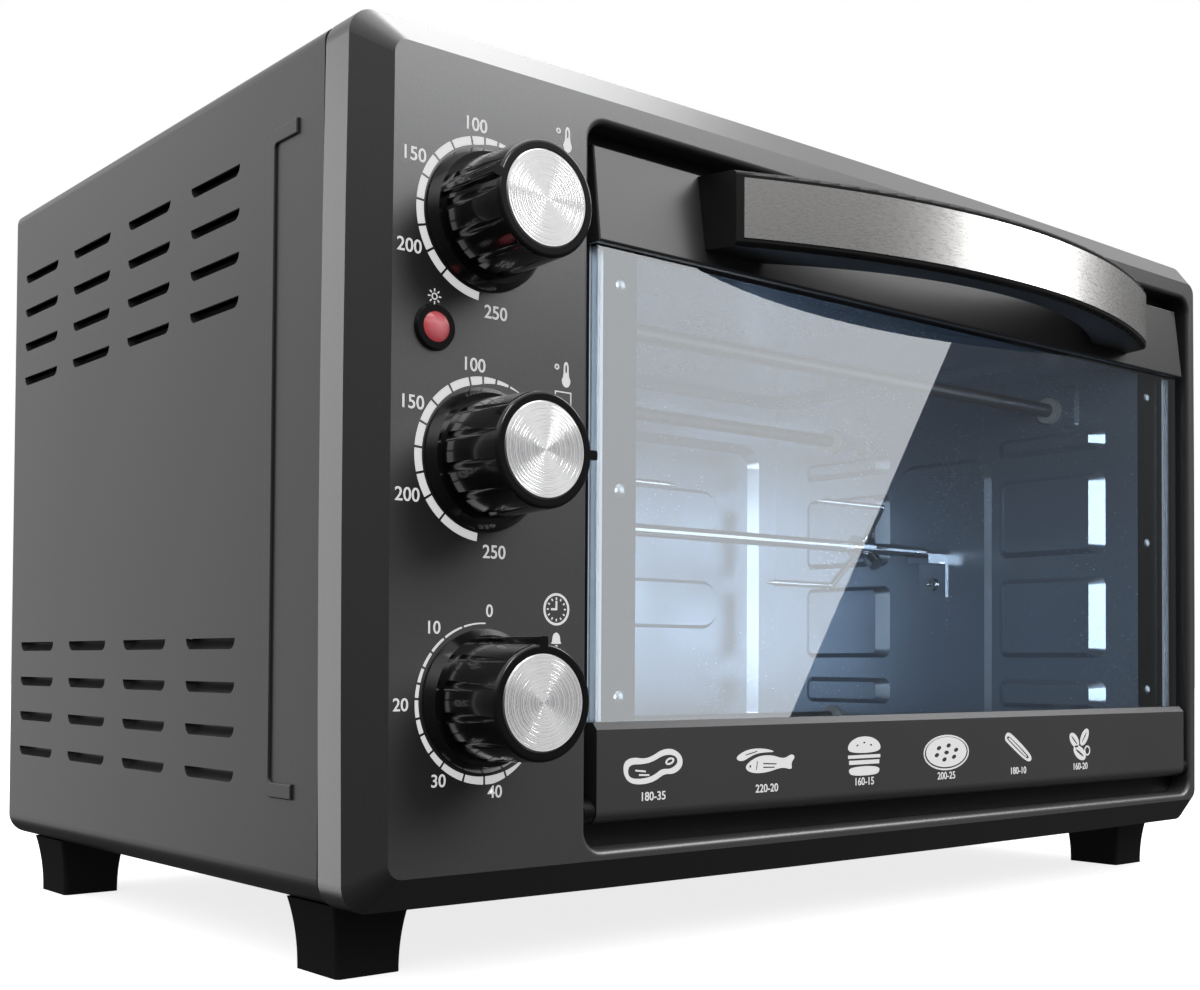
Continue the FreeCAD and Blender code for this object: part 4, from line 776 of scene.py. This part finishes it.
def pizza():
    toppings = [oval(6.6 * math.cos(a), 2.9 * math.sin(a), 3.0, 1.7, 10) for a in round_angles(6, 0.3)]
    return ring(0, 0, 29.6, 14.6, 0.7) + [oval(0, 0.2, 26.4, 12.4)] + toppings + [oval(0, 0, 3.2, 1.6)]


def hot_dog():
    return [smooth((-10, 4.4), (-8, 7.6), (-4, 6.2), (9, -2.6), (10, -5.4), (6.4, -6.2), (-7.4, 2.4)),
            smooth((-8.4, 4.8), (-7.4, 5.8), (-4.4, 4.4), (7.6, -3.4), (7.8, -4.6), (5.6, -4.4),
                   (-6.4, 3.2)),
            smooth((-7.2, 4.6), (-6.4, 5), (-4, 3.6), (6.4, -3.4), (6.2, -4), (5, -3.4), (-5.6, 3.4))]


def vegetables():
    leaves = [oval(-4.6, 2.4, 8.6, 5.2, 140), oval(3.4, 3.6, 9.0, 5.0, 50),
              oval(-0.4, -3.4, 10.4, 5.6, -28)]
    veins = [oval(-4.6, 2.4, 6.2, 0.8, 140), oval(3.4, 3.6, 6.6, 0.8, 50),
             oval(-0.4, -3.4, 7.4, 1.0, -28)]
    return leaves + veins + ring(5.6, -2.6, 4.6, 4.6, 0.7)


band_low, band_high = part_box("door_bottom_band")
FOODS = [("steak", steak(), "180-35", 24.9), ("fish", fish(), "220-20", 80.2),
         ("burger", burger(), "160-15", 133.9), ("pizza", pizza(), "200-25", 184.8),
         ("hot_dog", hot_dog(), "180-10", 234.0), ("vegetables", vegetables(), "160-20", 280.8)]
FOOD_RISE = 0.8 * MM
SETTING_DROP = 9.6 * MM
SETTING_SIZE = 3.0
for name, outlines, setting, from_left in FOODS:
    x = band_low.x + from_left * MM
    z = (band_low.z + band_high.z) / 2 + FOOD_RISE
    drawing("food_" + name, outlines, (x, band_low.y, z), "door")
    number("setting_" + name, setting, SETTING_SIZE, (x, band_low.y, z - SETTING_DROP), "door")
print("foods on the door:", len(FOODS))

# %% [markdown]
# ## Floor, world and lights
# Dark glossy things are lit by what they reflect, not by what falls on them. So the room is a
# soft gradient, dark near the horizon and bright overhead, which gives the panels their fade from
# top to bottom. The lamps are shared out the way a photographer shields them with flags. One
# card shows only in the door's glass, where its slanting edge crosses the pane. A lamp and a card
# light the cavity through the glass. The side, panel, band and edge cards shape the enamel. Two
# narrow lamps make the bright fans on the turned knob faces over a soft card that fills them, and
# one more card brings out the handle's strip. The rear and right cards light the sides that face
# away from the camera, for whoever walks round the oven.


# %% Floor and world
FLOOR_HALF = 6.0


def stage_floor():
    bm = bmesh.new()
    bmesh.ops.create_grid(bm, x_segments=1, y_segments=1, size=FLOOR_HALF)
    mesh = bpy.data.meshes.new("floor")
    bm.to_mesh(mesh)
    bm.free()
    finish = Finish("pale_floor")
    tone = finish.noise(3.0, 2.0)
    mesh.materials.append(finish.show(finish.shader(
        Base_Color=finish.blend(tone, (0.93, 0.93, 0.93), (0.97, 0.97, 0.97)), Roughness=0.8,
        Emission_Color=(1, 1, 1, 1), Emission_Strength=0.8)))
    floor = bpy.data.objects.new("floor", mesh)
    floor.visible_glossy = False
    floor.visible_diffuse = False
    bpy.context.scene.collection.objects.link(floor)
    floor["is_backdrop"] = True


ROOM_STOPS = [(0.0, 0.03), (0.5, 0.08), (0.62, 0.14), (0.72, 0.6), (0.8, 1.0), (1.0, 0.7)]


def studio_world():
    world = bpy.data.worlds.new("studio")
    bpy.context.scene.world = world
    world.use_nodes = True
    room = Finish("studio", world.node_tree)
    direction = room.node("ShaderNodeTexCoord", give="Generated")
    height = room.node("ShaderNodeSeparateXYZ", {}, {0: direction}, give="Z")
    shade = room.node("ShaderNodeValToRGB", {"stops": ROOM_STOPS}, {0: height * 0.5 + 0.5})
    seen = room.node("ShaderNodeLightPath", give="Is Camera Ray")
    colour = room.node("ShaderNodeMix", {"data_type": "RGBA"},
                       {0: seen, 6: shade, 7: (1, 1, 1, 1)}, give=2)
    background = room.node("ShaderNodeBackground", {}, {"Color": colour, "Strength": 1.0})
    output = world.node_tree.nodes.new("ShaderNodeOutputWorld")
    world.node_tree.links.new(background.socket, output.inputs["Surface"])


stage_floor()
studio_world()
print("floor", 2 * FLOOR_HALF, "m wide under a room with", len(ROOM_STOPS), "shades")


# %% Softboxes
def group(name, pieces):
    collection = bpy.data.collections.new(name)
    for piece in pieces:
        collection.objects.link(piece)
    return collection


def lamp(name, wide, high, radiance, matrix, only=(), blocked_by=()):
    """A rectangular lamp that shines along its own -Z.

    only holds the pieces it reaches, and blocked_by those that may shade it, if not all."""
    data = bpy.data.lights.new(name, "AREA")
    data.shape = "RECTANGLE"
    data.size = wide
    data.size_y = high
    data.energy = radiance * math.pi * wide * high
    light = bpy.data.objects.new(name, data)
    light.matrix_world = matrix
    bpy.context.scene.collection.objects.link(light)
    if only:
        light.light_linking.receiver_collection = group(name + "_reaches", only)
    if blocked_by:
        light.light_linking.blocker_collection = group(name + "_blockers", blocked_by)


def softbox(name, place, target, wide, high, radiance, only):
    """A lamp at a place that faces a target."""
    aim = (Vector(target) - Vector(place)).to_track_quat("-Z", "Y").to_matrix().to_4x4()
    lamp(name, wide, high, radiance, Matrix.Translation(place) @ aim, only)


def nodes_named(*starts):
    return [piece for name, piece in frame["nodes"].items() if name.startswith(starts)]


# %% The card in the pane
EDGE_LOW = (-0.054, 0.080)
EDGE_HIGH = (0.045, 0.239)
CARD_OVERRUN = 3


def card_in_pane(low, high, away, wide, radiance):
    """A card whose right edge is mirrored along the line from low to high, both (x, z)."""
    pane_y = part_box("door_glass")[0].y
    eye = Vector((CAMERA_PLACE.x, 2 * pane_y - CAMERA_PLACE.y, CAMERA_PLACE.z))
    ends = []
    for x, z in (low, high):
        along = Vector((x, pane_y, z)) - eye
        ends.append(eye + along * ((away - eye.y) / along.y))
    edge = (ends[1] - ends[0]).normalized()
    back = Vector((0, -1, 0))
    across = edge.cross(back)
    length = (ends[1] - ends[0]).length * CARD_OVERRUN
    centre = (ends[0] + ends[1]) / 2 - across * wide / 2
    matrix = Matrix.Translation(centre) @ Matrix((across, edge, back)).transposed().to_4x4()
    glass = nodes_named("door_glass")
    lamp("door_card", wide, length, radiance, matrix, glass, blocked_by=glass)


card_in_pane(EDGE_LOW, EDGE_HIGH, away=-1.1, wide=1.6, radiance=2.1)


# %% The other cards and lamps
MIDDLE = ((CAD_BOX[0] + CAD_BOX[1]) / 2).to_tuple()
DIAL_MIDDLE = TURNS["middle"].to_tuple()
CAVITY = nodes_named("cavity_wall", "cavity_floor", "cavity_roof", "heater", "spit_", "fork_",
                     "drive_", "door_rail", "frame_rivets")
FRAME = nodes_named("front_frame")
FRONT = nodes_named("front_frame", "door_bottom_band")
ENAMELLED = nodes_named("front_frame", "outer_casing", "door_bottom_band")
REAR = nodes_named("back_panel", "back_screws", "cord_inlet")
RIGHT = nodes_named("outer_casing", "foot_")
KNOBS = nodes_named("knob_upper", "knob_middle", "knob_timer") + knob_faces
PANEL_MIDDLE = (-0.1, -0.13, 0.2)
LEFT_SIDE = (-0.24, 0.0, 0.17)

# Each row: name, place, what it faces, width, height, radiance and the pieces it reaches.
SOFTBOXES = [
    ("cavity_lamp", (-0.76, -0.98, 0.24), (0.19, -0.1, 0.15), 0.3, 0.7, 9.0, CAVITY),
    ("cavity_card", (0.9, -1.3, 0.35), (0.0, -0.13, 0.15), 1.8, 1.3, 1.5, CAVITY),
    ("panel_card", (0.95, -1.25, 1.3), PANEL_MIDDLE, 1.8, 0.9, 7.5, FRONT),
    ("band_card", (0.95, -1.25, 1.3), PANEL_MIDDLE, 1.8, 0.9, 3.2, nodes_named("door_top_band")),
    ("side_card", (-1.4, 1.9, 0.45), LEFT_SIDE, 2.4, 2.0, 0.7, ENAMELLED),
    ("frame_side_card", (-1.4, 1.9, 0.25), LEFT_SIDE, 2.4, 2.2, 1.6, FRAME),
    ("top_edge_card", (0.68, 0.6, 1.84), (-0.2, -0.13, 0.3), 0.8, 0.8, 5.0, FRAME),
    ("fan_left", (-0.35, -1.35, 1.15), DIAL_MIDDLE, 0.3, 0.7, 8.5, KNOBS),
    ("fan_right", (1.35, -0.75, 1.15), DIAL_MIDDLE, 0.3, 0.7, 8.5, KNOBS),
    ("disc_card", (0.9, -1.3, 0.3), DIAL_MIDDLE, 1.6, 1.6, 0.7, knob_faces),
    ("strip_card", (1.3, -1.13, 0.62), MIDDLE, 0.45, 0.7, 10.0, nodes_named("handle_strip")),
    ("rear_card", (0.9, 2.3, 1.0), (0.0, 0.17, 0.15), 2.6, 1.8, 1.3, REAR),
    ("right_card", (2.3, 0.6, 0.9), (0.24, 0.0, 0.15), 2.4, 2.0, 1.0, RIGHT),
    ("overhead", (-0.1, -0.1, 2.0), MIDDLE, 1.8, 1.4, 1.8, ()),
]
for row in SOFTBOXES:
    softbox(*row)
print("lamps:", len(SOFTBOXES) + 1)

view = bpy.context.scene.view_settings
view.view_transform = "Standard"
view.look = "None"

# %% [markdown]
# ## Finish
# The two boxes, before and after dressing, give how far the dressing grew past the steel.

# %% Measure and finish
DRESSED_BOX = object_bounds()
GROWTH = (DRESSED_BOX[1] - DRESSED_BOX[0]) - (CAD_BOX[1] - CAD_BOX[0])
print("size kept, grown by:", [round(value, 5) for value in GROWTH])
